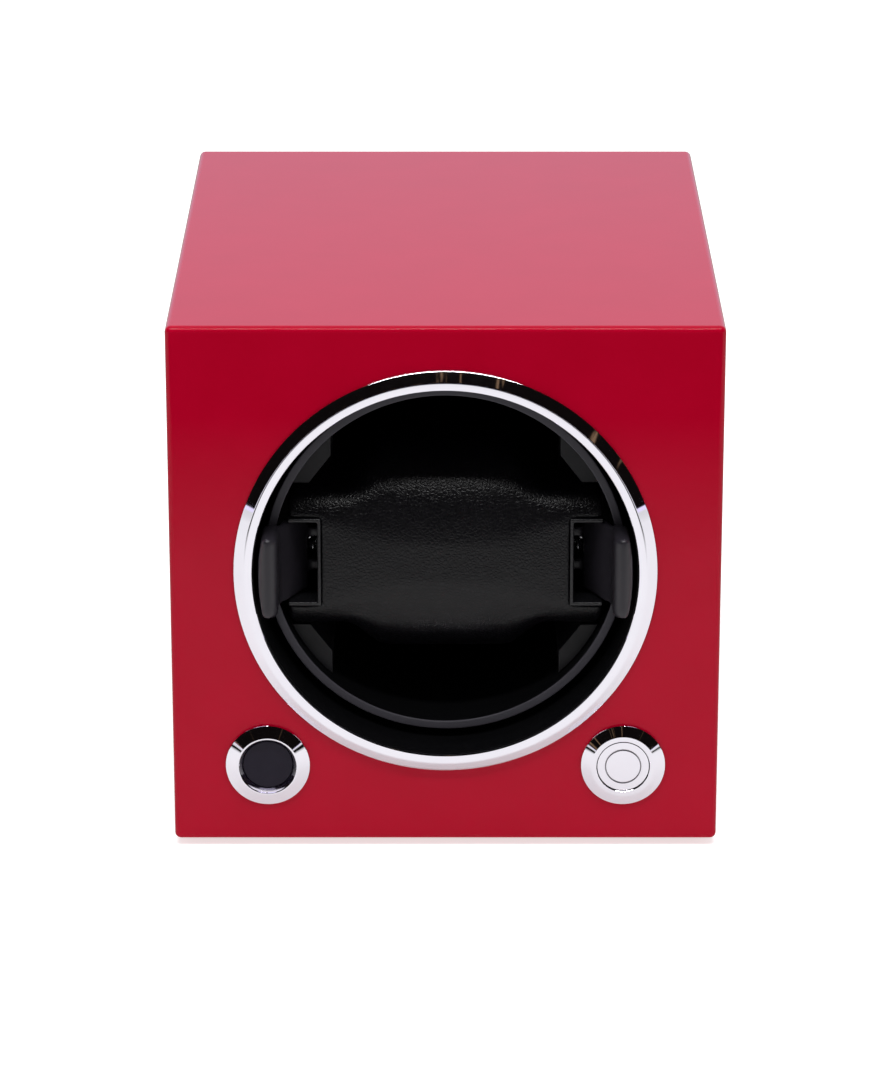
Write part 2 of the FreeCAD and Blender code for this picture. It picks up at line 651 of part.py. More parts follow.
def cradle(side):
    """A guide block at one side of the drum, with a channel that the end of the cuff slides into."""
    reach = DRUM_BORE_RADIUS - CRADLE_GAP
    half = WING_HALF_HEIGHT + WING_FIT
    stop = WING_BACK_DEPTH + WING_SEAT_GAP
    block = rod(reach, CRADLE_FRONT_DEPTH, DRUM_FLOOR_DEPTH)
    edge = side * CRADLE_INNER
    far = side * reach
    keep = box(min(edge, far), max(edge, far), CRADLE_FRONT_DEPTH, DRUM_FLOOR_DEPTH,
               AXIS_Z - reach, AXIS_Z + reach)
    mouth = side * (CRADLE_INNER + CRADLE_CHAMFER)
    outline = [(edge, half + CRADLE_RISE), (mouth, half), (far, half), (far, -half), (mouth, -half),
               (edge, -half - CRADLE_RISE)]
    points = [Vector(x, y_at(CRADLE_FRONT_DEPTH), AXIS_Z + z) for x, z in outline]
    mouth_face = Part.Face(Part.makePolygon(points + points[:1]))
    channel = mouth_face.extrude(Vector(0, stop - CRADLE_FRONT_DEPTH, 0))
    solid = block.common(keep).cut(channel)
    for x, z in cradle_screw_places():
        pilot = rod(SCREW_RADIUS + SCREW_PILOT_FIT, DRUM_FLOOR_DEPTH - SCREW_BITE, DRUM_FLOOR_DEPTH, x, z)
        solid = solid.cut(pilot)
    return solid


def cradle_screws():
    """Screws through the drum's floor into the cradles."""
    tip = DRUM_FLOOR_DEPTH - SCREW_BITE
    return [screw(x, z, DRUM_BACK_DEPTH, tip) for x, z in cradle_screw_places()]


def involute(angle):
    """The involute function of an angle in radians."""
    return math.tan(angle) - angle


def gear_outline(teeth, x, z, first_tooth, depth):
    """The closed outline of a spur gear across Y, with one tooth's middle at the angle first_tooth."""
    pressure = math.radians(PRESSURE_ANGLE)
    pitch_radius = GEAR_MODULE * teeth / 2
    base = pitch_radius * math.cos(pressure)
    tip = pitch_radius + GEAR_MODULE
    root = pitch_radius - 1.25 * GEAR_MODULE
    start = max(base, root)
    half_pitch = math.pi / (2 * teeth) - GEAR_BACKLASH / (2 * pitch_radius)

    def half_angle(radius):
        return half_pitch + involute(pressure) - involute(math.acos(min(1.0, base / radius)))

    def point(radius, angle):
        return Vector(x + radius * math.cos(angle), y_at(depth), z + radius * math.sin(angle))

    edges = []
    middle = (start + tip) / 2
    foot, waist, crown = half_angle(start), half_angle(middle), half_angle(tip)
    for tooth in range(teeth):
        centre = first_tooth + 2 * math.pi * tooth / teeth
        following = centre + 2 * math.pi / teeth
        if root < start:
            edges.append(Part.LineSegment(point(root, centre - foot), point(start, centre - foot)))
        rise = [point(start, centre - foot), point(middle, centre - waist), point(tip, centre - crown)]
        top = [point(tip, centre - crown), point(tip, centre), point(tip, centre + crown)]
        fall = [point(tip, centre + crown), point(middle, centre + waist), point(start, centre + foot)]
        edges += [Part.Arc(*rise), Part.Arc(*top), Part.Arc(*fall)]
        if root < start:
            edges.append(Part.LineSegment(point(start, centre + foot), point(root, centre + foot)))
        gap = (centre + following) / 2
        edges.append(Part.Arc(point(root, centre + foot), point(root, gap), point(root, following - foot)))
    return Part.Wire([edge.toShape() for edge in edges])


def gear_blank(teeth, x, z, first_tooth, depth, width):
    """A spur gear without its bore."""
    return Part.Face(gear_outline(teeth, x, z, first_tooth, depth)).extrude(Vector(0, width, 0))


def drum_gear():
    """The large gear on the drum's shaft, thinned to a web between its hub and its rim."""
    gear = gear_blank(GEAR_TEETH, 0, AXIS_Z, -math.pi / 2, GEAR_DEPTH, GEAR_WIDTH)
    root = GEAR_MODULE * (GEAR_TEETH / 2 - 1.25)
    recess = (GEAR_WIDTH - GEAR_WEB) / 2
    for depth in (GEAR_DEPTH, GEAR_DEPTH + GEAR_WIDTH - recess):
        gear = gear.cut(tube(root - GEAR_RIM, GEAR_HUB_RADIUS, depth, depth + recess))
    return gear.cut(rod(SHAFT_RADIUS, GEAR_DEPTH, GEAR_DEPTH + GEAR_WIDTH))


def pinion_depth():
    """Where the pinion begins, in the middle of the large gear's width."""
    return GEAR_DEPTH + (GEAR_WIDTH - PINION_WIDTH) / 2


def motor_pinion():
    """The small gear on the gearhead's shaft, with a tooth gap facing the large gear."""
    first = math.pi / 2 + math.pi / PINION_TEETH
    pinion = gear_blank(PINION_TEETH, 0, MOTOR_Z, first, pinion_depth(), PINION_WIDTH)
    return pinion.cut(rod(PINION_SHAFT_RADIUS, pinion_depth(), pinion_depth() + PINION_WIDTH, 0, MOTOR_Z))


def pinion_shaft():
    """The gearhead's output shaft."""
    return rod(PINION_SHAFT_RADIUS, pinion_depth(), PLATE_BACK_DEPTH + PINION_SHAFT_SEAT, 0, MOTOR_Z)


def pad_section(x, depth1, half_height, corner):
    """A rounded rectangle across X from the front of the pad to a depth."""
    y0, y1 = y_at(PAD_SETBACK), y_at(depth1)
    z0, z1 = AXIS_Z - half_height, AXIS_Z + half_height
    slope = corner * (1 - math.sqrt(0.5))
    lines = [((y0 + corner, z0), (y1 - corner, z0)), ((y1, z0 + corner), (y1, z1 - corner)),
             ((y1 - corner, z1), (y0 + corner, z1)), ((y0, z1 - corner), (y0, z0 + corner))]
    middles = [(y1 - slope, z0 + slope), (y1 - slope, z1 - slope),
               (y0 + slope, z1 - slope), (y0 + slope, z0 + slope)]
    edges = []
    for index, (start, end) in enumerate(lines):
        following = lines[(index + 1) % len(lines)][0]
        edges.append(Part.LineSegment(Vector(x, *start), Vector(x, *end)).toShape())
        arc = Part.Arc(Vector(x, *end), Vector(x, *middles[index]), Vector(x, *following))
        edges.append(arc.toShape())
    return Part.Wire(edges)


def cuff_pad():
    """The padded cuff: a deep roll in the middle and a shallower wing at each side.

    It has a tunnel for the core, and a notch at the end of each wing for the clip.
    """
    blend_out = ROLL_HALF_WIDTH + ROLL_BLEND
    roll = Part.Face(pad_section(-ROLL_HALF_WIDTH, ROLL_BACK_DEPTH, ROLL_HALF_HEIGHT, ROLL_CORNER))
    solids = [roll.extrude(Vector(2 * ROLL_HALF_WIDTH, 0, 0))]
    for side in (-1, 1):
        inner = pad_section(side * ROLL_HALF_WIDTH, ROLL_BACK_DEPTH, ROLL_HALF_HEIGHT, ROLL_CORNER)
        outer = pad_section(side * blend_out, WING_BACK_DEPTH, WING_HALF_HEIGHT, WING_CORNER)
        solids.append(Part.makeLoft([inner, outer], True, True))
        wing = Part.Face(outer).extrude(Vector(side * (WING_HALF_WIDTH - blend_out), 0, 0))
        solids.append(wing)
    pad = fused(solids)
    pad = pad.common(rod(DRUM_BORE_RADIUS - PAD_WALL_GAP, PAD_SETBACK, ROLL_BACK_DEPTH))
    for side in (-1, 1):
        near, far = side * NOTCH_INNER, side * DRUM_RADIUS
        pad = pad.cut(box(min(near, far), max(near, far), PAD_SETBACK, PAD_SETBACK + NOTCH_DEPTH,
                          AXIS_Z - NOTCH_HALF_HEIGHT, AXIS_Z + NOTCH_HALF_HEIGHT))
    tunnel = CORE_HALF_HEIGHT + CORE_FIT
    return pad.cut(box(-NOTCH_INNER, NOTCH_INNER, CORE_FRONT_DEPTH - CORE_FIT,
                       CORE_BACK_DEPTH + CORE_FIT, AXIS_Z - tunnel, AXIS_Z + tunnel))


def holder_core():
    """The moulded core inside the cuff, with slots for the clips' stems and pockets for their springs."""
    core = box(-NOTCH_INNER, NOTCH_INNER, CORE_FRONT_DEPTH, CORE_BACK_DEPTH,
               AXIS_Z - CORE_HALF_HEIGHT, AXIS_Z + CORE_HALF_HEIGHT)
    slot_end = CLIP_INNER - STEM_REACH - CLIP_TRAVEL - STEM_END_GAP
    half_depth = STEM_DEPTH / 2 + STEM_FIT
    half_height = STEM_HEIGHT / 2 + STEM_FIT
    for side in (-1, 1):
        near, far = side * slot_end, side * NOTCH_INNER
        for rise in (-STEM_RISE, STEM_RISE):
            core = core.cut(box(min(near, far), max(near, far), STEM_MIDDLE_DEPTH - half_depth,
                                STEM_MIDDLE_DEPTH + half_depth, AXIS_Z + rise - half_height,
                                AXIS_Z + rise + half_height))
        mouth = Vector(side * NOTCH_INNER, y_at(STEM_MIDDLE_DEPTH), AXIS_Z)
        core = core.cut(Part.makeCylinder(SPRING_POCKET_RADIUS, SPRING_POCKET, mouth, Vector(-side, 0, 0)))
    return core


def notch_trim(side):
    """The thin frame that edges the notch at one end of the cuff: three sides, open at the wing's end."""
    depth0, depth1 = PAD_SETBACK - TRIM_PROUD, PAD_SETBACK + TRIM_DEPTH
    inner = NOTCH_INNER + TRIM_WALL
    reach = math.sqrt((DRUM_BORE_RADIUS - PAD_WALL_GAP) ** 2 - NOTCH_HALF_HEIGHT ** 2)
    reach = min(reach, WING_HALF_WIDTH)
    half = NOTCH_HALF_HEIGHT - TRIM_WALL
    start, edge, end = side * NOTCH_INNER, side * inner, side * reach
    block = box(min(start, end), max(start, end), depth0, depth1,
                AXIS_Z - NOTCH_HALF_HEIGHT, AXIS_Z + NOTCH_HALF_HEIGHT)
    opening = box(min(edge, end), max(edge, end), depth0, depth1, AXIS_Z - half, AXIS_Z + half)
    tunnel = box(min(start, edge), max(start, edge), CORE_FRONT_DEPTH, depth1, AXIS_Z - half, AXIS_Z + half)
    return block.cut(opening).cut(tunnel)


def clip_outline(side, points):
    """A face across Z from (distance from the middle, depth) points."""
    corners_at = [Vector(side * x, y_at(depth), 0) for x, depth in points]
    return Part.Face(Part.makePolygon(corners_at + corners_at[:1]))


def release_clip(side):
    """A release clip: a lip in front of the drum's rim, a plate in the cuff's notch and two stems."""
    rounded = LIP_ROUND / 2
    bend = PAD_SETBACK + CLIP_BEND
    lip_points = [
        (LIP_INNER, LIP_FRONT_DEPTH + LIP_ROUND), (LIP_INNER + LIP_ROUND, LIP_FRONT_DEPTH),
        (LIP_RADIUS - LIP_ROUND, LIP_FRONT_DEPTH), (LIP_RADIUS, LIP_FRONT_DEPTH + LIP_ROUND),
        (LIP_RADIUS, LIP_BACK_DEPTH - LIP_ROUND), (LIP_RADIUS - LIP_ROUND, LIP_BACK_DEPTH),
        (LIP_INNER, LIP_BACK_DEPTH),
    ]
    plate_points = [
        (CLIP_INNER, CLIP_BACK_DEPTH), (CLIP_OUTER, CLIP_BACK_DEPTH), (CLIP_OUTER, bend),
        (LIP_INNER + CLIP_FLARE, LIP_BACK_DEPTH), (LIP_INNER, LIP_BACK_DEPTH - CLIP_PLATE),
        (CLIP_INNER, bend - CLIP_PLATE),
    ]
    lip = clip_outline(side, lip_points).extrude(Vector(0, 0, 2 * LIP_HALF_HEIGHT))
    lip.translate(Vector(0, 0, AXIS_Z - LIP_HALF_HEIGHT))
    plate = clip_outline(side, plate_points).extrude(Vector(0, 0, 2 * CLIP_HALF_HEIGHT))
    plate.translate(Vector(0, 0, AXIS_Z - CLIP_HALF_HEIGHT))
    lip = lip.makeFillet(rounded, [e for e in lip.Edges if is_across_z(e)])
    lip = lip.common(rod(LIP_RADIUS, LIP_FRONT_DEPTH, LIP_BACK_DEPTH))
    solids = [lip, plate]
    stem_end = CLIP_INNER - STEM_REACH
    near, far = side * stem_end, side * (CLIP_INNER + CLIP_PLATE / 2)
    for rise in (-STEM_RISE, STEM_RISE):
        solids.append(box(min(near, far), max(near, far), STEM_MIDDLE_DEPTH - STEM_DEPTH / 2,
                          STEM_MIDDLE_DEPTH + STEM_DEPTH / 2, AXIS_Z + rise - STEM_HEIGHT / 2,
                          AXIS_Z + rise + STEM_HEIGHT / 2))
    nub = Vector(side * CLIP_INNER, y_at(STEM_MIDDLE_DEPTH), AXIS_Z)
    solids.append(Part.makeCylinder(SPRING_NUB_RADIUS, SPRING_NUB_LENGTH, nub, Vector(-side, 0, 0)))
    return fused(solids)


def is_across_z(edge):
    """Whether an edge lies level, at the top or bottom of an upright block."""
    first, last = edge.Vertexes[0].Point, edge.Vertexes[-1].Point
    return abs(first.z - last.z) < 1e-6


def clip_spring(side):
    """The spring between the core's pocket and the clip."""
    start = Vector(side * (NOTCH_INNER - SPRING_POCKET), y_at(STEM_MIDDLE_DEPTH), AXIS_Z)
    length = SPRING_POCKET + CLIP_REST_GAP
    return coil_spring(SPRING_RADIUS, SPRING_WIRE, SPRING_TURNS, start, length, Vector(side, 0, 0))


def control_flange(x, crest, mouth):
    """A chromed flange with a barrel through the case's front.

    It bevels up to its crest, is flat to the mouth's first point, and follows the mouth's other
    (radius, depth) points down to the bore.
    """
    return turned([
        (FLANGE_RADIUS, 0),
        (FLANGE_RADIUS, -FLANGE_EDGE),
        (crest, -FLANGE_PROUD),
    ] + mouth + [
        (mouth[-1][0], BARREL_END_DEPTH),
        (BARREL_RADIUS, BARREL_END_DEPTH),
        (BARREL_RADIUS, 0),
    ], x, CONTROL_Z)


def control_nut(x):
    """The ring nut that clamps a control to the back of the front."""
    return tube(NUT_RADIUS, BARREL_RADIUS, FRONT_WALL, FRONT_WALL + NUT_THICKNESS, x, CONTROL_Z)


def button_bezel():
    """The chromed flange and barrel of the button, with a flat land around it."""
    return control_flange(CONTROL_X, BUTTON_BORE_RADIUS + BUTTON_LAND, [(BUTTON_BORE_RADIUS, -FLANGE_PROUD)])


def button_face():
    """The depth of the button's face at rest."""
    return BUTTON_RECESS - FLANGE_PROUD


def push_button():
    """The button: a disc with an engraved ring and a stem behind it."""
    face = button_face()
    back = face + BUTTON_THICKNESS
    stem_end = BARREL_END_DEPTH - BUTTON_TRAVEL - BUTTON_STEM_GAP
    button = fused([rod(BUTTON_RADIUS, face, back, CONTROL_X, CONTROL_Z),
                    rod(BUTTON_STEM_RADIUS, back, stem_end, CONTROL_X, CONTROL_Z)])
    groove = tube(BUTTON_GROOVE_RADIUS, BUTTON_GROOVE_RADIUS - BUTTON_GROOVE, face, face + BUTTON_GROOVE,
                  CONTROL_X, CONTROL_Z)
    return button.cut(groove)


def button_spring():
    """The spring that pushes the button out."""
    back = button_face() + BUTTON_THICKNESS
    start = Vector(CONTROL_X, y_at(back), CONTROL_Z)
    length = BARREL_END_DEPTH - back
    return coil_spring(BUTTON_SPRING_RADIUS, BUTTON_SPRING_WIRE, BUTTON_SPRING_TURNS, start, length,
                       Vector(0, 1, 0))


def button_switch():
    """The switch body that closes the button's barrel, with its two pins."""
    end = BARREL_END_DEPTH + SWITCH_LENGTH
    body = rod(SWITCH_RADIUS, BARREL_END_DEPTH, end, CONTROL_X, CONTROL_Z)
    pins = [rod(SWITCH_PIN_RADIUS, end, end + SWITCH_PIN_LENGTH, CONTROL_X + shift, CONTROL_Z)
            for shift in (-SWITCH_RADIUS / 2, SWITCH_RADIUS / 2)]
    return fused([body] + pins)


def indicator_bezel():
    """The chromed flange and barrel around the indicator, with a mouth that narrows inwards."""
    bore = LENS_RADIUS + LENS_FIT
    window = bore + LENS_SLOPE
    mouth = [(window, -FLANGE_PROUD), (bore, lens_front())]
    return control_flange(-CONTROL_X, window + LENS_LAND, mouth)


def lens_front():
    """The depth of the lens's face."""
    return LENS_RECESS - FLANGE_PROUD


def indicator_lens():
    """The smoked lens of the indicator."""
    return rod(LENS_RADIUS, lens_front(), lens_front() + LENS_THICKNESS, -CONTROL_X, CONTROL_Z)


def indicator_spacer():
    """The sleeve in the barrel that holds the lens forward of the lamp board."""
    start = lens_front() + LENS_THICKNESS
    return tube(LENS_RADIUS, LENS_RADIUS - SPACER_WALL, start, BARREL_END_DEPTH, -CONTROL_X, CONTROL_Z)


def lamp_board():
    """The round lamp board that closes the indicator's barrel."""
    return rod(BARREL_RADIUS, BARREL_END_DEPTH, BARREL_END_DEPTH + LED_BOARD_THICKNESS, -CONTROL_X, CONTROL_Z)


def indicator_lamps():
    """Three small lamps on the lamp board, behind the lens."""
    lamps = []
    for step in range(3):
        angle = math.pi / 2 + step * 2 * math.pi / 3
        x = -CONTROL_X + LED_SPREAD * math.cos(angle)
        z = CONTROL_Z + LED_SPREAD * math.sin(angle)
        half = LED_SIDE / 2
        front = BARREL_END_DEPTH - LED_HEIGHT
        lamps.append(box(x - half, x + half, front, BARREL_END_DEPTH, z - half, z + half))
    return lamps


def rear_panel():
    """The panel that closes the back, with holes for the jack and its four screws."""
    half = INNER_HALF_WIDTH - PANEL_FIT
    back = PANEL_DEPTH + PANEL_THICKNESS
    panel = box(-half, half, PANEL_DEPTH, back, INNER_BASE + PANEL_FIT, INNER_TOP - PANEL_FIT)
    panel = panel.cut(rod(JACK_BARREL_RADIUS + JACK_BARREL_FIT, PANEL_DEPTH, back, JACK_X, jack_z()))
    for x, z in block_places():
        panel = panel.cut(rod(SCREW_RADIUS + SCREW_HOLE_FIT, PANEL_DEPTH, back, x, z))
    return panel


def corner_blocks():
    """Glued blocks in the back corners of the case that the rear panel is screwed to."""
    half = BLOCK_SIDE / 2
    blocks = []
    for x, z in block_places():
        block = box(x - half, x + half, PANEL_DEPTH - BLOCK_LENGTH, PANEL_DEPTH, z - half, z + half)
        pilot = rod(SCREW_RADIUS + SCREW_PILOT_FIT, PANEL_DEPTH - SCREW_BITE, PANEL_DEPTH, x, z)
        blocks.append(block.cut(pilot))
    return blocks


def rear_screws():
    """The four screws of the rear panel."""
    head = PANEL_DEPTH + PANEL_THICKNESS
    return [screw(x, z, head, PANEL_DEPTH - SCREW_BITE) for x, z in block_places()]


def jack_z():
    """The height of the power jack."""
    return CASE_BASE + JACK_HEIGHT


def dc_jack():
    """The power jack: a flange outside the panel, a barrel through it and an open bore."""
    back = PANEL_DEPTH + PANEL_THICKNESS
    body = rod(JACK_BARREL_RADIUS, back - JACK_BODY_LENGTH, back, JACK_X, jack_z())
    flange = rod(JACK_FLANGE_RADIUS, back, back + JACK_FLANGE, JACK_X, jack_z())
    mouth = back + JACK_FLANGE
    jack = fused([body, flange])
    return jack.cut(rod(JACK_BORE_RADIUS, mouth - JACK_BORE_DEPTH, mouth, JACK_X, jack_z()))


def jack_pin():
    """The contact pin in the middle of the jack."""
    mouth = PANEL_DEPTH + PANEL_THICKNESS + JACK_FLANGE
    return rod(JACK_PIN_RADIUS, mouth - JACK_BORE_DEPTH, mouth - JACK_PIN_SETBACK, JACK_X, jack_z())


def jack_nut():
    """The nut that clamps the jack from inside."""
    return tube(JACK_NUT_RADIUS, JACK_BARREL_RADIUS, PANEL_DEPTH - JACK_NUT_THICKNESS, PANEL_DEPTH, JACK_X,
                jack_z())


def pillar_places():
    """The control board's four pillars, as (x, depth)."""
    half = BOARD_HALF_WIDTH - PILLAR_INSET
    depths = (BOARD_FRONT_DEPTH + PILLAR_FRONT_INSET, BOARD_BACK_DEPTH - PILLAR_INSET)
    return [(side * half, depth) for side in (-1, 1) for depth in depths]


def board_pillars():
    """Pillars that stand on the floor of the case and carry the control board."""
    pillars = []
    for x, depth in pillar_places():
        foot = Vector(x, y_at(depth), INNER_BASE)
        pilot = Part.makeCylinder(SCREW_RADIUS + SCREW_PILOT_FIT, PILLAR_HEIGHT, foot)
        pillars.append(Part.makeCylinder(PILLAR_RADIUS, PILLAR_HEIGHT, foot).cut(pilot))
    return pillars


def control_board():
    """The circuit board that runs the motor."""
    half = BOARD_HALF_WIDTH
    board = box(-half, half, BOARD_FRONT_DEPTH, BOARD_BACK_DEPTH, BOARD_BASE, BOARD_TOP)
    for x, depth in pillar_places():
        hole = Vector(x, y_at(depth), BOARD_BASE)
        board = board.cut(Part.makeCylinder(SCREW_RADIUS + SCREW_HOLE_FIT, BOARD_THICKNESS, hole))
    return board


def board_screws():
    """Screws through the control board into its pillars."""
    tip = INNER_BASE + PILLAR_SCREW_GAP
    return [upright_screw(x, depth, BOARD_TOP, tip) for x, depth in pillar_places()]


def lead_x():
    """How far to each side the control leads reach the board."""
    return CONTROL_X - LEAD_SIDESTEP


def jack_lead_depth():
    """Where the jack's lead comes down to the board."""
    return PANEL_DEPTH + PANEL_THICKNESS - JACK_BODY_LENGTH - LEAD_JACK_RUN


def board_sockets():
    """The four plug sockets of the leads: two at the front edge of the board and two on its top."""
    half, reach = SOCKET_WIDTH / 2, SOCKET_LENGTH / 2
    edge = BOARD_FRONT_DEPTH + reach
    places = [(-lead_x(), edge), (lead_x(), edge), (LEAD_MOTOR_SIDE, motor_lead_depth()),
              (JACK_X, jack_lead_depth())]
    top = BOARD_TOP + SOCKET_HEIGHT
    return [box(x - half, x + half, depth - reach, depth + reach, BOARD_TOP, top) for x, depth in places]


def board_chips():
    """The processor and a capacitor on the control board."""
    half = CHIP_SIDE / 2
    depth = BOARD_FRONT_DEPTH + CHIP_OFFSET
    chip = box(-half, half, depth - half, depth + half, BOARD_TOP, BOARD_TOP + CHIP_HEIGHT)
    foot = Vector(-CHIP_OFFSET - CAPACITOR_RADIUS, y_at(depth), BOARD_TOP)
    return [chip, Part.makeCylinder(CAPACITOR_RADIUS, CAPACITOR_HEIGHT, foot)]


def motor_lead_depth():
    """Where the motor's lead comes down to the back edge of the board."""
    return BOARD_BACK_DEPTH - SOCKET_EDGE_GAP - SOCKET_LENGTH / 2


def lead(points):
    """A round lead along straight runs that tangent arcs join, each arc as large as its runs allow."""
    path = [Vector(*point) for point in points]
    edges = []
    start = path[0]
    for before, corner, after in zip(path, path[1:], path[2:]):
        back, ahead = before - corner, after - corner
        setback = LEAD_SHARE * min(back.Length, ahead.Length)
        back.normalize()
        ahead.normalize()
        enter, leave = corner + back * setback, corner + ahead * setback
        bisector = back + ahead
        bisector.normalize()
        half_turn = (math.pi - back.getAngle(ahead)) / 2
        radius = setback / math.tan(half_turn)
        middle = corner + bisector * (radius / math.cos(half_turn) - radius)
        edges += [Part.LineSegment(start, enter).toShape(), Part.Arc(enter, middle, leave).toShape()]
        start = leave
    edges.append(Part.LineSegment(start, path[-1]).toShape())
    way = path[1] - path[0]
    section = Part.Wire(Part.Circle(path[0], way, LEAD_RADIUS).toShape())
    return Part.Wire(edges).makePipeShell([section], True, True)


def control_lead(side, start_depth):
    """A lead from a control back to its socket at the front edge of the board."""
    socket_z = BOARD_TOP + SOCKET_HEIGHT / 2
    run = (BOARD_FRONT_DEPTH - start_depth) / 3
    return lead([
        (side * CONTROL_X, y_at(start_depth), CONTROL_Z),
        (side * CONTROL_X, y_at(start_depth + run), CONTROL_Z),
        (side * lead_x(), y_at(start_depth + 2 * run), socket_z),
        (side * lead_x(), y_at(BOARD_FRONT_DEPTH), socket_z),
    ])


def button_lead():
    """The lead from the button's switch to the board."""
    return control_lead(1, BARREL_END_DEPTH + SWITCH_LENGTH)


def indicator_lead():
    """The lead from the lamp board to the control board."""
    return control_lead(-1, BARREL_END_DEPTH + LED_BOARD_THICKNESS)


def motor_lead():
    """The lead from the motor's end cap down to the board."""
    depth = motor_lead_depth()
    return lead([
        (LEAD_MOTOR_SIDE, y_at(MOTOR_BACK_DEPTH + MOTOR_CAP_LENGTH), MOTOR_Z),
        (LEAD_MOTOR_SIDE, y_at(depth), MOTOR_Z),
        (LEAD_MOTOR_SIDE, y_at(depth), BOARD_TOP + SOCKET_HEIGHT),
    ])


def jack_lead():
    """The lead from the power jack forward and down to the board."""
    end = PANEL_DEPTH + PANEL_THICKNESS - JACK_BODY_LENGTH
    return lead([
        (JACK_X, y_at(end), jack_z()),
        (JACK_X, y_at(jack_lead_depth()), jack_z()),
        (JACK_X, y_at(jack_lead_depth()), BOARD_TOP + SOCKET_HEIGHT),
    ])


def pieces():
    """Every piece of the winder by name."""
    return {
        "cabinet_shell": cabinet_shell(),
        "rubber_feet": rubber_feet(),
        "bezel_ring": bezel_ring(),
        "rotor_housing": rotor_housing(),
        "housing_screws": housing_screws(),
        "plate_posts": plate_posts(),
        "post_screws": post_screws(),
        "motor_plate": motor_plate(),
        "plate_screws": plate_screws(),
        "gearhead": gearhead(),
        "motor_can": motor_can(),
        "motor_screws": motor_screws(),
        "front_bush": front_bush(),
        "rear_bush": rear_bush(),
        "drum_shaft": drum_shaft(),
        "shaft_clip": shaft_clip(),
        "hub_screw": hub_screw(),
        "rotor_drum": rotor_drum(),
        "left_cradle": cradle(-1),
        "right_cradle": cradle(1),
        "cradle_screws": cradle_screws(),
        "drum_gear": drum_gear(),
        "motor_pinion": motor_pinion(),
        "pinion_shaft": pinion_shaft(),
        "cuff_pad": cuff_pad(),
        "holder_core": holder_core(),
        "left_notch_trim": notch_trim(-1),
        "right_notch_trim": notch_trim(1),
        "left_clip": release_clip(-1),
        "right_clip": release_clip(1),
        "left_clip_spring": clip_spring(-1),
        "right_clip_spring": clip_spring(1),
        "button_bezel": button_bezel(),
        "button_nut": control_nut(CONTROL_X),
        "push_button": push_button(),
        "button_spring": button_spring(),
        "button_switch": button_switch(),
        "indicator_bezel": indicator_bezel(),
        "indicator_nut": control_nut(-CONTROL_X),
        "indicator_lens": indicator_lens(),
        "indicator_spacer": indicator_spacer(),
        "lamp_board": lamp_board(),
        "indicator_lamps": indicator_lamps(),
        "rear_panel": rear_panel(),
        "corner_blocks": corner_blocks(),
        "rear_screws": rear_screws(),
        "dc_jack": dc_jack(),
        "jack_pin": jack_pin(),
        "jack_nut": jack_nut(),
        "board_pillars": board_pillars(),
        "control_board": control_board(),
        "board_screws": board_screws(),
        "board_sockets": board_sockets(),
        "board_chips": board_chips(),
        "button_lead": button_lead(),
        "indicator_lead": indicator_lead(),
        "motor_lead": motor_lead(),
        "jack_lead": jack_lead(),
    }


def main():
    """Writes one STEP file for each named piece."""
    os.makedirs("parts", exist_ok=True)
    for name, shape in pieces().items():
        whole = Part.makeCompound(shape) if isinstance(shape, list) else shape
        whole.exportStep(os.path.join("parts", name + ".step"))


if __name__ == "__main__":
    main()
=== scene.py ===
"""The looks of a lacquered winder box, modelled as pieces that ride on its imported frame.

Sizes in the classes are millimetres, as in the part's source, and meshes are made in metres. A depth is measured
along +Y from the front face of the case.
"""
import json
import logging
import math
from collections.abc import Callable, Sequence
from dataclasses import dataclass
from enum import Enum
from functools import cache

import bpy
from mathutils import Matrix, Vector


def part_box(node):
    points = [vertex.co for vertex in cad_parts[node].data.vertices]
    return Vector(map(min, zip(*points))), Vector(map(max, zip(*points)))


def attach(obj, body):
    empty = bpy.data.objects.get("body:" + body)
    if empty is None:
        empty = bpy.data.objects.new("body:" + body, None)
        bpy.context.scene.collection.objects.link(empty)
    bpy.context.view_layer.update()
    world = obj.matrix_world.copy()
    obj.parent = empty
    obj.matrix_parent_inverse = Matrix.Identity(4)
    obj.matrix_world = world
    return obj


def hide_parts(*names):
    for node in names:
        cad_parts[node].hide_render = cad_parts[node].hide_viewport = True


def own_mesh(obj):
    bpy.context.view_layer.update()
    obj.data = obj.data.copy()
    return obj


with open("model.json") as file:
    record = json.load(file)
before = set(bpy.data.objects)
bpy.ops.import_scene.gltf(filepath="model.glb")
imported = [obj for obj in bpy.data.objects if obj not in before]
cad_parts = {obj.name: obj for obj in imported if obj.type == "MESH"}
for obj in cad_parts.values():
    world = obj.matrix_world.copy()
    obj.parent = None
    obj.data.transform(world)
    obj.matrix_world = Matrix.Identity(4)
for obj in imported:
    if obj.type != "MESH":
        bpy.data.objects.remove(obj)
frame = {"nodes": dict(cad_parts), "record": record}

LOG = logging.getLogger("winder")
MM = 0.001
MERGE = MM / 500
FLAT_ANGLE = 0.5
SMOOTHING = 0.5
SIDES = {"left": -1, "right": 1}
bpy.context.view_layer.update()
SLOT_OF = {row["node"]: row["material_slot"] for row in frame["record"]["subparts"]}

Pair = tuple[float, float]
Triple = tuple[float, float, float]
Colour = Triple
Socket = bpy.types.NodeSocket
Inputs = dict[str | int, Socket | float | tuple[float, ...]]
Profile = Sequence[Pair]
Test = Callable[[Vector, Vector], bool]


def span(node: str) -> tuple[Vector, Vector]:
    """Gives the lowest and highest corner of a CAD node.

    Args:
        node: The node's name.

    Returns:
        The two corners in millimetres.
    """
    low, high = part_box(node)
    return low / MM, high / MM


FRONT_Y = span("cabinet_shell")[0].y
AXIS_Z = sum(corner.z for corner in span("bezel_ring")) / 2


def at(x: float, depth: float, z: float) -> Vector:
    """Places a point by its depth behind the front face, in millimetres."""
    return Vector((x, FRONT_Y + depth, z))


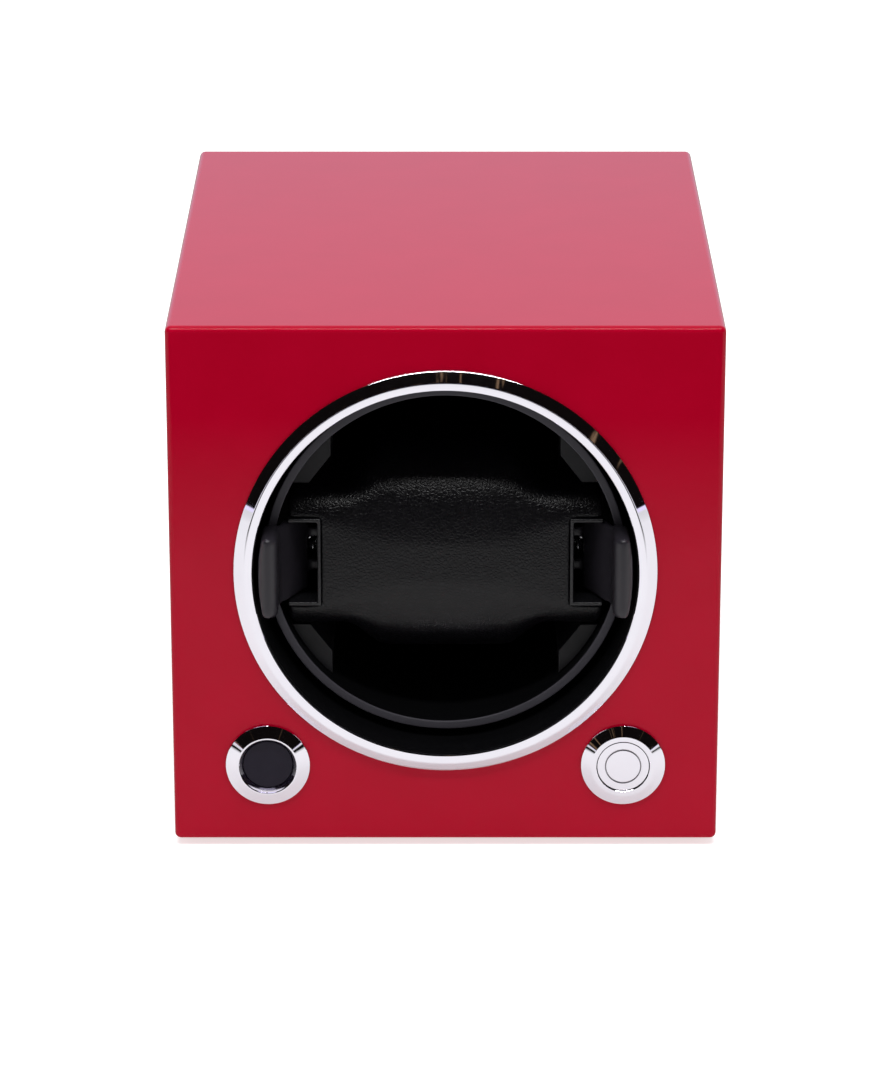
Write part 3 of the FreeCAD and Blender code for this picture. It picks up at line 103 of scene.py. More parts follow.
def clear() -> None:
    """Leaves edit mode and deselects every object."""
    if bpy.context.object and bpy.context.object.mode != "OBJECT":
        bpy.ops.object.mode_set(mode="OBJECT")
    bpy.ops.object.select_all(action="DESELECT")


def named(name: str) -> bpy.types.Object:
    """Names the new primitive and puts its place into its mesh.

    Args:
        name: The piece's name.

    Returns:
        The object, alone selected and active.
    """
    obj = bpy.context.active_object
    obj.name = name
    obj.data.name = name
    bpy.ops.object.transform_apply(location=True, rotation=True, scale=True)
    return obj


def only(obj: bpy.types.Object) -> None:
    """Selects one object alone and makes it active.

    Args:
        obj: The object.
    """
    clear()
    obj.select_set(True)
    bpy.context.view_layer.objects.active = obj


def block(name: str, low: Vector, high: Vector) -> bpy.types.Object:
    """Adds a cube at its size and place.

    Args:
        name: The piece's name.
        low: Its lowest corner in millimetres.
        high: Its highest corner in millimetres.

    Returns:
        The new object.
    """
    clear()
    bpy.ops.mesh.primitive_cube_add(size=1.0, location=(low + high) / 2 * MM, scale=(high - low) * MM)
    return named(name)


def rod(name: str, radius: float, start: Vector, length: float, sides: int = 96) -> bpy.types.Object:
    """Adds a cylinder along +Y.

    Args:
        name: The piece's name.
        radius: Its radius in millimetres.
        start: The middle of its front end in millimetres.
        length: Its length in millimetres.
        sides: How many sides its circle has.

    Returns:
        The new object.
    """
    clear()
    middle = start + Vector((0, length / 2, 0))
    bpy.ops.mesh.primitive_cylinder_add(vertices=sides, radius=radius * MM, depth=length * MM,
                                        location=middle * MM, rotation=(math.pi / 2, 0, 0))
    return named(name)


def turned(name: str, profile: Profile, centre: Vector, steps: int = 160) -> bpy.types.Object:
    """Turns a piece about the Y axis through a point: one vertex is drawn out to the outline and spun.

    Args:
        name: The piece's name.
        profile: (radius, depth) points in millimetres. An outline that stays off the axis is closed.
        centre: A point on the axis in millimetres, whose Y is where depths start.
        steps: How many steps the full turn has.

    Returns:
        The new object.
    """
    points = [centre + Vector((radius, depth, 0)) for radius, depth in profile]
    if profile[0][0] > 0:
        points.append(points[0])
    clear()
    bpy.ops.mesh.primitive_plane_add(size=MM)
    obj = named(name)
    edit()
    bpy.ops.mesh.merge(type="CENTER")
    bpy.ops.transform.translate(value=points[0] * MM)
    for before, here in zip(points, points[1:]):
        bpy.ops.mesh.extrude_vertices_move(TRANSFORM_OT_translate={"value": (here - before) * MM})
    bpy.ops.mesh.select_all(action="SELECT")
    bpy.ops.mesh.spin(steps=steps, angle=2 * math.pi, center=centre * MM, axis=(0, 1, 0))
    tidy_mesh()
    bpy.ops.object.mode_set(mode="OBJECT")
    return obj


def tidy_mesh() -> None:
    """Merges doubles and turns the faces outwards, in edit mode."""
    bpy.ops.mesh.select_all(action="SELECT")
    bpy.ops.mesh.remove_doubles(threshold=MERGE)
    bpy.ops.mesh.normals_make_consistent(inside=False)


def apply(obj: bpy.types.Object, kind: str, **settings: object) -> None:
    """Adds a modifier, sets it and applies it.

    Args:
        obj: The piece.
        kind: The modifier's type.
        settings: The modifier's settings by name.
    """
    only(obj)
    modifier = obj.modifiers.new(kind.lower(), kind)
    for key, value in settings.items():
        setattr(modifier, key, value)
    bpy.ops.object.modifier_apply(modifier=modifier.name)


def cut(obj: bpy.types.Object, cutters: Sequence[bpy.types.Object]) -> None:
    """Cuts other objects out of a piece and deletes them.

    Args:
        obj: The piece.
        cutters: The objects to cut away.
    """
    for cutter in cutters:
        apply(obj, "BOOLEAN", operation="DIFFERENCE", solver="EXACT", object=cutter)
        bpy.data.objects.remove(cutter)


def edit(select: str = "SELECT", faces: bool = False) -> None:
    """Enters edit mode on the active object.

    Args:
        select: The action for select_all.
        faces: Whether faces are selected, and not vertices.
    """
    bpy.context.tool_settings.mesh_select_mode = (not faces, False, faces)
    bpy.ops.object.mode_set(mode="EDIT")
    bpy.ops.mesh.select_all(action=select)


def pick_faces(obj: bpy.types.Object, test: Test) -> None:
    """Enters edit mode with only the faces selected that pass a test.

    Args:
        obj: The piece.
        test: Takes a face's middle in millimetres and its normal.
    """
    only(obj)
    edit("DESELECT", faces=True)
    bpy.ops.object.mode_set(mode="OBJECT")
    for face in obj.data.polygons:
        face.select = test(face.center / MM, face.normal)
    bpy.ops.object.mode_set(mode="EDIT")


def ease_edges(obj: bpy.types.Object, width: float, segments: int = 3, angle: float = 30.0) -> None:
    """Rounds a piece's sharp edges and shades it.

    Args:
        obj: The piece.
        width: The rounding in millimetres.
        segments: How many segments the rounding has.
        angle: The least angle in degrees of an edge that is rounded.
    """
    apply(obj, "BEVEL", width=width * MM, segments=segments, limit_method="ANGLE", angle_limit=math.radians(angle),
          use_clamp_overlap=True, miter_outer="MITER_ARC")
    shade(obj, angle)


def shade(obj: bpy.types.Object, angle: float = 30.0) -> None:
    """Shades a piece smooth, with its flat faces kept flat.

    Args:
        obj: The piece.
        angle: The least angle in degrees of an edge that stays sharp.
    """
    only(obj)
    bpy.ops.object.shade_smooth_by_angle(angle=math.radians(angle))
    apply(obj, "WEIGHTED_NORMAL", keep_sharp=True, weight=100)


def copy_of(node: str, name: str) -> bpy.types.Object:
    """Copies a CAD node's mesh into a new piece and merges its loose triangles.

    Args:
        node: The CAD node's name.
        name: The new piece's name.

    Returns:
        The new object.
    """
    obj = bpy.data.objects.new(name, frame["nodes"][node].data.copy())
    obj.data.name = name
    bpy.context.scene.collection.objects.link(obj)
    only(obj)
    if obj.data.has_custom_normals:
        bpy.ops.mesh.customdata_custom_splitnormals_clear()
    edit()
    bpy.ops.mesh.remove_doubles(threshold=MERGE)
    bpy.ops.object.mode_set(mode="OBJECT")
    return obj


def eased_copy(node: str, name: str, width: float, segments: int = 3) -> bpy.types.Object:
    """Copies a rigid CAD node and rounds its edges.

    Args:
        node: The CAD node's name.
        name: The new piece's name.
        width: The rounding in millimetres.
        segments: How many segments the rounding has.

    Returns:
        The new object.
    """
    obj = copy_of(node, name)
    edit()
    bpy.ops.mesh.dissolve_limited(angle_limit=math.radians(FLAT_ANGLE))
    bpy.ops.object.mode_set(mode="OBJECT")
    ease_edges(obj, width, segments)
    return obj


def joined(parts: Sequence[bpy.types.Object], name: str) -> bpy.types.Object:
    """Joins objects into one piece.

    Args:
        parts: The objects.
        name: The piece's name.

    Returns:
        The joined object.
    """
    only(parts[0])
    for part in parts[1:]:
        part.select_set(True)
    bpy.ops.object.join()
    return named(name)


def moved_copy(obj: bpy.types.Object, shift: Vector) -> bpy.types.Object:
    """Copies a piece with its own mesh and moves the copy.

    Args:
        obj: The piece.
        shift: The move in millimetres.

    Returns:
        The copy.
    """
    only(obj)
    bpy.ops.object.duplicate(linked=False)
    twin = bpy.context.active_object
    twin.location = shift * MM
    bpy.ops.object.transform_apply(location=True)
    return twin


class Pattern(Enum):
    """How a finish varies over its surface."""

    MOTTLE = "mottle"
    GRAIN = "leather_grain"
    MOULDED = "moulded_skin"
    DRAWN = "drawn_lines"
    FIBRE = "wood_fibre"


class Wiring:
    """Adds and links the nodes of one node tree."""

    def __init__(self, tree: bpy.types.NodeTree) -> None:
        """Keeps the tree that the nodes go into."""
        self.tree = tree

    def add(self, kind: str, inputs: Inputs | None = None, **settings: object) -> bpy.types.Node:
        """Adds a node.

        Args:
            kind: The node's type without its prefix.
            inputs: What goes into its inputs.
            settings: The node's settings by name.

        Returns:
            The new node.
        """
        node = self.tree.nodes.new("ShaderNode" + kind)
        for key, value in settings.items():
            setattr(node, key, value)
        self.feed(node, inputs or {})
        return node

    def feed(self, node: bpy.types.Node, inputs: Inputs) -> None:
        """Fills a node's inputs.

        Args:
            node: The node.
            inputs: A socket to link or a value to set, by the input's name or number.
        """
        for name, value in inputs.items():
            if isinstance(value, Socket):
                self.tree.links.new(value, node.inputs[name])
            else:
                node.inputs[name].default_value = value

    def math(self, operation: str, first: Socket, second: Socket | float) -> Socket:
        """Joins two values by an operation."""
        return self.add("Math", {0: first, 1: second}, operation=operation).outputs["Value"]

    def ramp(self, value: Socket, source: Pair, result: Pair = (0.0, 1.0), kind: str = "LINEAR") -> Socket:
        """Stretches a value from one range to another.

        Args:
            value: The value.
            source: Its range.
            result: The range of the result.
            kind: How it goes from one end to the other.

        Returns:
            The stretched value.
        """
        ends = {"From Min": source[0], "From Max": source[1], "To Min": result[0], "To Max": result[1]}
        return self.add("MapRange", {"Value": value, **ends}, interpolation_type=kind).outputs["Result"]

    def mix(self, factor: Socket, first: Colour | Socket, second: Colour | Socket) -> Socket:
        """Mixes two colours.

        Args:
            factor: How much of the second there is.
            first: The first colour.
            second: The second colour.

        Returns:
            The mixed colour.
        """
        first, second = (each if isinstance(each, Socket) else (*each, 1.0) for each in (first, second))
        return self.add("Mix", {"Factor": factor, "A": first, "B": second}, data_type="RGBA").outputs["Result"]

    def stretched(self, place: Socket, ratio: Triple) -> Socket:
        """Scales coordinates by a different amount along each axis."""
        return self.add("Mapping", {"Vector": place, "Scale": ratio}).outputs["Vector"]

    def noise(self, place: Socket, scale: Socket | float, detail: float) -> Socket:
        """Adds a noise."""
        return self.add("TexNoise", {"Vector": place, "Scale": scale, "Detail": detail}).outputs["Fac"]


class PatternNodes(Wiring):
    """The nodes of one pattern's group. A factor is a multiple of the group's scale."""

    JITTER_FACTOR = 0.6
    JITTER = (0.6 * MM, 0.6 * MM, 0.6 * MM)
    CREASE = (0.0, 0.28)
    WRINKLE_FACTOR = 2.6
    PEBBLE_SHARE = 0.72
    PEBBLE_POLISH = 0.3
    PATCH_FACTOR = 0.06
    DRAWN_RATIO = (1.0, 0.04, 1.0)
    FIBRE_RATIO = (1.0, 0.05, 1.0)
    STRANDS = (0.2, 0.7)

    def __init__(self, pattern: Pattern) -> None:
        """Makes the group, with a Scale input and the outputs Shade, Rough and Height, each from 0 to 1.

        Args:
            pattern: The pattern.
        """
        super().__init__(bpy.data.node_groups.new(pattern.value, "ShaderNodeTree"))
        outputs = ("Shade", "Rough", "Height")
        self.tree.interface.new_socket("Scale", in_out="INPUT", socket_type="NodeSocketFloat")
        for output in outputs:
            self.tree.interface.new_socket(output, in_out="OUTPUT", socket_type="NodeSocketFloat")
        self.scale = self.tree.nodes.new("NodeGroupInput").outputs["Scale"]
        self.place = self.add("TexCoord").outputs["Object"]
        makers = {Pattern.MOTTLE: self.mottle, Pattern.GRAIN: self.grain, Pattern.MOULDED: self.moulded,
                  Pattern.DRAWN: self.drawn, Pattern.FIBRE: self.fibre}
        self.feed(self.tree.nodes.new("NodeGroupOutput"), dict(zip(outputs, makers[pattern]())))

    def cloud(self, factor: float, detail: float = 4.0, place: Socket | None = None) -> Socket:
        """Adds a noise at a multiple of the group's scale.

        Args:
            factor: The multiple.
            detail: The noise's detail.
            place: Its coordinates, if they aren't the piece's own.

        Returns:
            The noise's value.
        """
        return self.noise(place or self.place, self.math("MULTIPLY", self.scale, factor), detail)

    def mottle(self) -> list[Socket]:
        """Soft clouds of shade, with finer ones of roughness and height."""
        return [self.cloud(1.0), self.cloud(6.0), self.cloud(3.0, 2.0)]

    def grain(self) -> list[Socket]:
        """Draws leather pebbles between creases, broken up by wrinkles.

        Returns:
            The shade, the roughness and the height.
        """
        jitter_scale = self.math("MULTIPLY", self.scale, self.JITTER_FACTOR)
        jitter = self.add("TexNoise", {"Vector": self.place, "Scale": jitter_scale})
        wobble = self.add("VectorMath", {0: jitter.outputs["Color"], 1: self.JITTER, 2: self.place},
                          operation="MULTIPLY_ADD")
        cells = self.add("TexVoronoi", {"Vector": wobble.outputs["Vector"], "Scale": self.scale},
                         feature="DISTANCE_TO_EDGE")
        pebble = self.ramp(cells.outputs["Distance"], self.CREASE, kind="SMOOTHSTEP")
        wrinkle = self.cloud(self.WRINKLE_FACTOR)
        height = self.math("ADD", self.math("MULTIPLY", pebble, self.PEBBLE_SHARE),
                           self.math("MULTIPLY", wrinkle, 1 - self.PEBBLE_SHARE))
        rough = self.math("SUBTRACT", wrinkle, self.math("MULTIPLY", pebble, self.PEBBLE_POLISH))
        return [self.math("MULTIPLY", pebble, self.cloud(self.PATCH_FACTOR)), rough, height]

    def moulded(self) -> list[Socket]:
        """The fine spark-eroded skin of a moulding, with faint flow clouds."""
        return [self.cloud(0.04), self.cloud(0.3), self.cloud(1.0, 2.0)]

    def drawn(self) -> list[Socket]:
        """Fine lines along Y, as on drawn or ground metal."""
        lines = self.stretched(self.place, self.DRAWN_RATIO)
        return [self.cloud(0.2, place=lines), self.cloud(1.0, place=lines), self.cloud(1.0, place=lines)]

    def fibre(self) -> list[Socket]:
        """Draws wood fibres along Y between wider growth bands.

        Returns:
            The shade, the roughness and the height.
        """
        lines = self.stretched(self.place, self.FIBRE_RATIO)
        fine = self.cloud(1.0, place=lines)
        strands = self.ramp(fine, self.STRANDS, kind="SMOOTHSTEP")
        return [self.math("MULTIPLY", self.cloud(0.15, place=lines), strands), fine, fine]


@cache
def pattern_group(pattern: Pattern) -> bpy.types.NodeTree:
    """Builds a pattern's group once."""
    return PatternNodes(pattern).tree


@dataclass(frozen=True)
class Finish:
    """A procedural finish: two colours, a roughness range and a relief that follow one pattern.

    The pattern's scale is in features per metre, and its relief is in millimetres.
    """

    name: str
    dark: Colour
    light: Colour
    rough: Pair
    pattern: Pattern
    scale: float
    relief: float = 0.0
    metallic: float = 0.0
    specular: float = 0.5
    coat: float = 0.0
    coat_ior: float = 1.5
    coat_rough: float = 0.03
    transmission: float = 0.0
    rough_source: Pair = (0.25, 0.75)

    def material(self) -> bpy.types.Material:
        """Builds the finish's material, or gives the one that is made."""
        return bpy.data.materials.get(self.name) or self.build()

    def build(self) -> bpy.types.Material:
        """Builds the finish's material.

        Returns:
            The new material.
        """
        material = bpy.data.materials.new(self.name)
        material.use_nodes = True
        material.diffuse_color = (*self.light, 1.0)
        wiring = Wiring(material.node_tree)
        pattern = wiring.add("Group", {"Scale": self.scale}, node_tree=pattern_group(self.pattern))
        shader = {"Base Color": wiring.mix(pattern.outputs["Shade"], self.dark, self.light),
                  "Roughness": wiring.ramp(pattern.outputs["Rough"], self.rough_source, self.rough),
                  "Metallic": self.metallic, "Specular IOR Level": self.specular, "Coat Weight": self.coat,
                  "Coat IOR": self.coat_ior, "Coat Roughness": self.coat_rough,
                  "Transmission Weight": self.transmission}
        if self.relief:
            bump = wiring.add("Bump", {"Distance": self.relief * MM, "Height": pattern.outputs["Height"]})
            shader["Normal"] = bump.outputs["Normal"]
        wiring.feed(material.node_tree.nodes["Principled BSDF"], shader)
        return material


FINISHES = {
    "red_lacquer": Finish("red_lacquer_gloss", (0.36, 0.0006, 0.0145), (0.40, 0.0011, 0.019), (0.34, 0.42),
                          Pattern.MOTTLE, 90.0, 0.002, specular=0.0, coat=1.0, coat_ior=1.24),
    "chrome": Finish("polished_chrome", (0.82, 0.80, 0.87), (0.87, 0.85, 0.91), (0.02, 0.05), Pattern.MOTTLE, 120.0,
                     metallic=1.0),
    # Painted shade: the well's black is drawn darker than black plastic, standing in for the shade deep inside the
    # well.
    "well_black": Finish("well_black_satin", (0.0015, 0.0015, 0.002), (0.003, 0.003, 0.0035), (0.42, 0.55),
                         Pattern.MOULDED, 1600.0, 0.01, specular=0.14),
    # Painted light: the drum is satin black, and this grey stands for the light that its front-facing rim catches.
    "drum_grey": Finish("drum_grey_satin", (0.038, 0.035, 0.044), (0.05, 0.047, 0.058), (0.42, 0.55),
                        Pattern.MOULDED, 1600.0, 0.012, specular=0.3),
    "cuff_leather": Finish("cuff_leatherette", (0.001, 0.0008, 0.0015), (0.003, 0.0025, 0.0044), (0.3, 0.46),
                           Pattern.GRAIN, 1300.0, 0.055, specular=0.3),
    "trim_black": Finish("turned_edge_leatherette", (0.004, 0.004, 0.005), (0.012, 0.0115, 0.014), (0.3, 0.45),
                         Pattern.GRAIN, 1400.0, 0.03),
    "core_black": Finish("core_black_moulded", (0.006, 0.006, 0.006), (0.01, 0.01, 0.011), (0.45, 0.6),
                         Pattern.MOULDED, 1400.0, 0.012),
    "clip_black": Finish("soft_touch_black", (0.012, 0.0105, 0.0145), (0.02, 0.0175, 0.023), (0.34, 0.44),
                         Pattern.MOULDED, 1500.0, 0.012, specular=0.45),
    "spring_steel": Finish("spring_wire", (0.5, 0.5, 0.52), (0.68, 0.68, 0.7), (0.2, 0.32), Pattern.MOTTLE, 1500.0,
                           0.004, metallic=1.0),
    "screw_steel": Finish("zinc_plated_screws", (0.42, 0.43, 0.45), (0.56, 0.56, 0.57), (0.25, 0.4), Pattern.MOTTLE,
                          600.0, 0.004, metallic=1.0),
    "black_screws": Finish("black_zinc_screws", (0.012, 0.012, 0.013), (0.03, 0.03, 0.032), (0.3, 0.45),
                           Pattern.MOTTLE, 700.0, 0.004, metallic=0.9),
    "shaft_steel": Finish("ground_shaft_steel", (0.5, 0.5, 0.51), (0.66, 0.66, 0.67), (0.15, 0.3), Pattern.DRAWN,
                          2500.0, 0.003, metallic=1.0),
    "bronze": Finish("sintered_bronze", (0.42, 0.26, 0.11), (0.58, 0.39, 0.18), (0.35, 0.55), Pattern.MOULDED, 1800.0,
                     0.02, metallic=1.0),
    "gear_nylon": Finish("gear_nylon_white", (0.68, 0.66, 0.6), (0.77, 0.76, 0.7), (0.4, 0.5), Pattern.MOULDED,
                         1200.0, 0.008),
    "pinion_brass": Finish("machined_brass", (0.62, 0.45, 0.18), (0.76, 0.58, 0.28), (0.18, 0.32), Pattern.DRAWN,
                           2500.0, 0.004, metallic=1.0),
    "gearhead_zinc": Finish("cast_zinc", (0.42, 0.42, 0.43), (0.56, 0.56, 0.57), (0.35, 0.55), Pattern.MOULDED, 900.0,
                            0.02, metallic=1.0),
    "motor_steel": Finish("drawn_can_steel", (0.4, 0.4, 0.42), (0.54, 0.54, 0.56), (0.22, 0.36), Pattern.DRAWN,
                          1500.0, 0.004, metallic=1.0),
    "plate_steel": Finish("plated_sheet_steel", (0.36, 0.36, 0.38), (0.5, 0.5, 0.52), (0.25, 0.42), Pattern.MOTTLE,
                          300.0, 0.005, metallic=1.0),
    "smoked_lens": Finish("smoked_lens_gloss", (0.011, 0.009, 0.016), (0.016, 0.013, 0.022), (0.05, 0.1),
                          Pattern.MOTTLE, 300.0, specular=0.12),
    "black_plastic": Finish("black_plastic_moulded", (0.01, 0.01, 0.011), (0.018, 0.018, 0.019), (0.4, 0.55),
                            Pattern.MOULDED, 1400.0, 0.014),
    "lamp_clear": Finish("lamp_resin", (0.62, 0.64, 0.6), (0.74, 0.75, 0.7), (0.08, 0.15), Pattern.MOTTLE, 800.0,
                         transmission=0.5),
    "board_green": Finish("solder_mask_green", (0.008, 0.09, 0.03), (0.016, 0.13, 0.045), (0.22, 0.35),
                          Pattern.MOTTLE, 500.0, 0.006, coat=0.4),
    "socket_white": Finish("socket_nylon", (0.68, 0.67, 0.62), (0.77, 0.76, 0.72), (0.4, 0.52), Pattern.MOULDED,
                           1400.0, 0.008),
    "lead_black": Finish("lead_sleeve_black", (0.012, 0.012, 0.012), (0.022, 0.022, 0.022), (0.42, 0.58),
                         Pattern.MOULDED, 1500.0, 0.01),
    "panel_black": Finish("painted_panel_black", (0.009, 0.009, 0.009), (0.019, 0.019, 0.019), (0.45, 0.62),
                          Pattern.FIBRE, 900.0, 0.02),
    "block_wood": Finish("bare_block_wood", (0.36, 0.21, 0.1), (0.58, 0.41, 0.24), (0.55, 0.75), Pattern.FIBRE,
                         1200.0, 0.03),
    "foot_rubber": Finish("foot_rubber_black", (0.014, 0.014, 0.014), (0.026, 0.026, 0.026), (0.6, 0.75),
                          Pattern.MOULDED, 1200.0, 0.012),
}


# Painted shade: the cradles are the drum's satin plastic, drawn darker for the shade that they sit in inside the well.
CRADLE_SHADE_FINISH = Finish("cradle_grey_painted_shade", (0.0045, 0.0042, 0.0055), (0.009, 0.0085, 0.0105), (0.4, 0.52),
                       Pattern.MOULDED, 1500.0, 0.012, specular=0.3)
ENGRAVED_FINISH = Finish("engraved_line", (0.3, 0.28, 0.31), (0.42, 0.4, 0.43), (0.45, 0.6), Pattern.MOTTLE, 900.0,
                         metallic=0.5)


def paint(obj: bpy.types.Object, finish: Finish, test: Test) -> None:
    """Gives the faces that pass a test another finish.

    Args:
        obj: The piece, already finished.
        finish: The other finish.
        test: Takes a face's middle in millimetres and its normal.
    """
    obj.data.materials.append(finish.material())
    pick_faces(obj, test)
    obj.active_material_index = len(obj.data.materials) - 1
    bpy.ops.object.material_slot_assign()
    bpy.ops.object.mode_set(mode="OBJECT")


def off_axis(place: Vector, x: float = 0.0, z: float = AXIS_Z) -> float:
    """How far a point lies from an axis along Y, in millimetres."""
    return math.hypot(place.x - x, place.z - z)


def finished(obj: bpy.types.Object, body: str, *nodes: str, smooth: bool = False) -> bpy.types.Object:
    """Dresses a piece in the finish of the nodes that it stands for, and makes it ride.

    Args:
        obj: The piece.
        body: The body that it rides on.
        nodes: The CAD nodes that it replaces.
        smooth: Whether the piece is shaded smooth all over.

    Returns:
        The same piece.
    """
    slot = SLOT_OF[nodes[0]]
    obj.data.materials.clear()
    obj.data.materials.append(FINISHES[slot].material())
    if smooth:
        only(obj)
        bpy.ops.object.shade_smooth()
    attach(obj, body)
    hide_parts(*nodes)
    LOG.info("%s rides on %s: %d faces", obj.name, body, len(obj.data.polygons))
    return obj


@dataclass
class Case:
    """The lacquered wooden case with its back and its feet."""

    edge_round: float = 1.3
    edge_segments: int = 6
    wall: float = 7.0
    front_wall: float = 9.0
    hole_fit: float = 0.3
    barrel_fit: float = 0.15
    window_sides: int = 192
    hole_sides: int = 64
    smooth_angle: float = 35.0
    panel_round: float = 0.4
    screw_round: float = 0.15
    inlet_round: float = 0.25
    foot_radius: float = 5.5
    foot_sides: int = 64
    foot_round: float = 0.25
    sole_facing: float = -0.9
    sole_border: float = 1.6
    sole_step: float = 0.6
    sole_dip: float = 0.4

    def build(self) -> None:
        """Builds and dresses the case's pieces."""
        self.shell()
        self.feet()
        finished(eased_copy("rear_panel", "rear_panel_board", self.panel_round), "cabinet", "rear_panel")
        finished(eased_copy("rear_screws", "rear_screw_heads", self.screw_round, 2), "cabinet", "rear_screws")
        finished(eased_copy("dc_jack", "power_inlet", self.inlet_round), "cabinet", "dc_jack")

    def shell(self) -> None:
        """Models the case: a block with rounded edges, hollowed from behind, with three holes in its front."""
        low, high = span("cabinet_shell")
        shell = block("lacquered_case", low, high)
        edit()
        bpy.ops.mesh.bevel(offset=self.edge_round * MM, segments=self.edge_segments, affect="EDGES")
        bpy.ops.object.mode_set(mode="OBJECT")
        inset = Vector((self.wall, 0, self.wall))
        room = block("room", low + inset + Vector((0, self.front_wall, 0)), high - inset + Vector((0, self.wall, 0)))
        housing_low, housing_high = span("rotor_housing")
        window = (housing_high.z - housing_low.z) / 2 + self.hole_fit
        through = 2 * self.wall + self.front_wall
        cutters = [room, rod("window", window, at(0, -self.wall, AXIS_Z), through, self.window_sides)]
        for bezel in ("button_bezel", "indicator_bezel"):
            middle = sum(span(bezel), Vector()) / 2
            cutters.append(rod("hole", Controls.barrel + self.barrel_fit, at(middle.x, -self.wall, middle.z), through,
                               self.hole_sides))
        cut(shell, cutters)
        shade(shell, self.smooth_angle)
        finished(shell, "cabinet", "cabinet_shell")

    def feet(self) -> None:
        """Models one foot and copies it to the four places."""
        low, high = span("rubber_feet")
        radius = self.foot_radius
        clear()
        bpy.ops.mesh.primitive_cylinder_add(vertices=self.foot_sides, radius=radius * MM, depth=(high.z - low.z) * MM,
                                            location=Vector((low.x + radius, low.y + radius, high.z / 2)) * MM)
        foot = named("foot")
        pick_faces(foot, lambda middle, normal: normal.z < self.sole_facing)
        bpy.ops.mesh.inset(thickness=self.sole_border * MM)
        bpy.ops.mesh.inset(thickness=self.sole_step * MM, depth=-self.sole_dip * MM)
        bpy.ops.object.mode_set(mode="OBJECT")
        ease_edges(foot, self.foot_round)
        shifts = [Vector((x, y, 0)) for x in (0, high.x - low.x - 2 * radius) for y in (0, high.y - low.y - 2 * radius)]
        feet = [foot] + [moved_copy(foot, shift) for shift in shifts[1:]]
        finished(joined(feet, "rubber_foot_pads"), "cabinet", "rubber_feet")


@dataclass
class Window:
    """The chromed ring around the window."""

    width: float = 4.0
    edge: float = 0.45
    proud: float = 2.0
    band: float = 1.8
    dip: float = 0.2
    seat: float = 1.9
    under: float = 0.9
    rolled: float = 0.3
    rolled_segments: int = 4
    rolled_angle: float = 12.0
    steps: int = 240

    def build(self) -> None:
        """Builds and dresses the ring."""
        low, high = span("bezel_ring")
        outer = (high.z - low.z) / 2
        inner = outer - self.width
        profile = [(outer, 0), (outer, -self.edge), (inner + self.band, -self.proud), (inner, self.dip - self.proud),
                   (inner, -self.under), (inner + self.seat, -self.under), (inner + self.seat, 0)]
        ring = turned("window_ring", profile, at(0, 0, AXIS_Z), self.steps)
        ease_edges(ring, self.rolled, self.rolled_segments, self.rolled_angle)
        finished(ring, "cabinet", "bezel_ring")


@dataclass
class Drum:
    """The turning cup with the two cradles that hold the cuff."""

    bore: float = 36.2
    rim_round: float = 0.3
    hub: float = 8.0
    shaft: float = 3.0
    floor: float = 2.5
    painted_shade_margin: float = 1.0
    cradle_round: float = 0.5
    steps: int = 200

    def build(self) -> None:
        """Builds and dresses the drum's pieces."""
        low, high = span("rotor_drum")
        outer = (high.z - low.z) / 2
        rim = low.y - FRONT_Y
        back = high.y - FRONT_Y
        inside = span("left_cradle")[1].y - FRONT_Y
        behind = inside + self.floor
        profile = [(self.shaft, inside), (self.bore, inside), (self.bore, rim), (outer, rim), (outer, behind),
                   (self.hub, behind), (self.hub, back), (self.shaft, back)]
        cup = turned("drum_cup", profile, at(0, 0, AXIS_Z), self.steps)
        ease_edges(cup, self.rim_round)
        finished(cup, "drum", "rotor_drum")
        # Painted shade: past the rim and off its outer wall, the inside of the cup takes the well's black as painted
        # shade, while the rim keeps the lighter grey as painted light.
        paint(cup, FINISHES["well_black"], lambda middle, normal: middle.y - FRONT_Y > rim + self.rim_round
              and off_axis(middle) < outer - self.painted_shade_margin)
        for side in SIDES:
            cradle = eased_copy(f"{side}_cradle", f"{side}_cradle_block", self.cradle_round)
            finished(cradle, "drum", f"{side}_cradle")
            # The cradles take the darker finish, as painted shade.
            cradle.data.materials[0] = CRADLE_SHADE_FINISH.material()


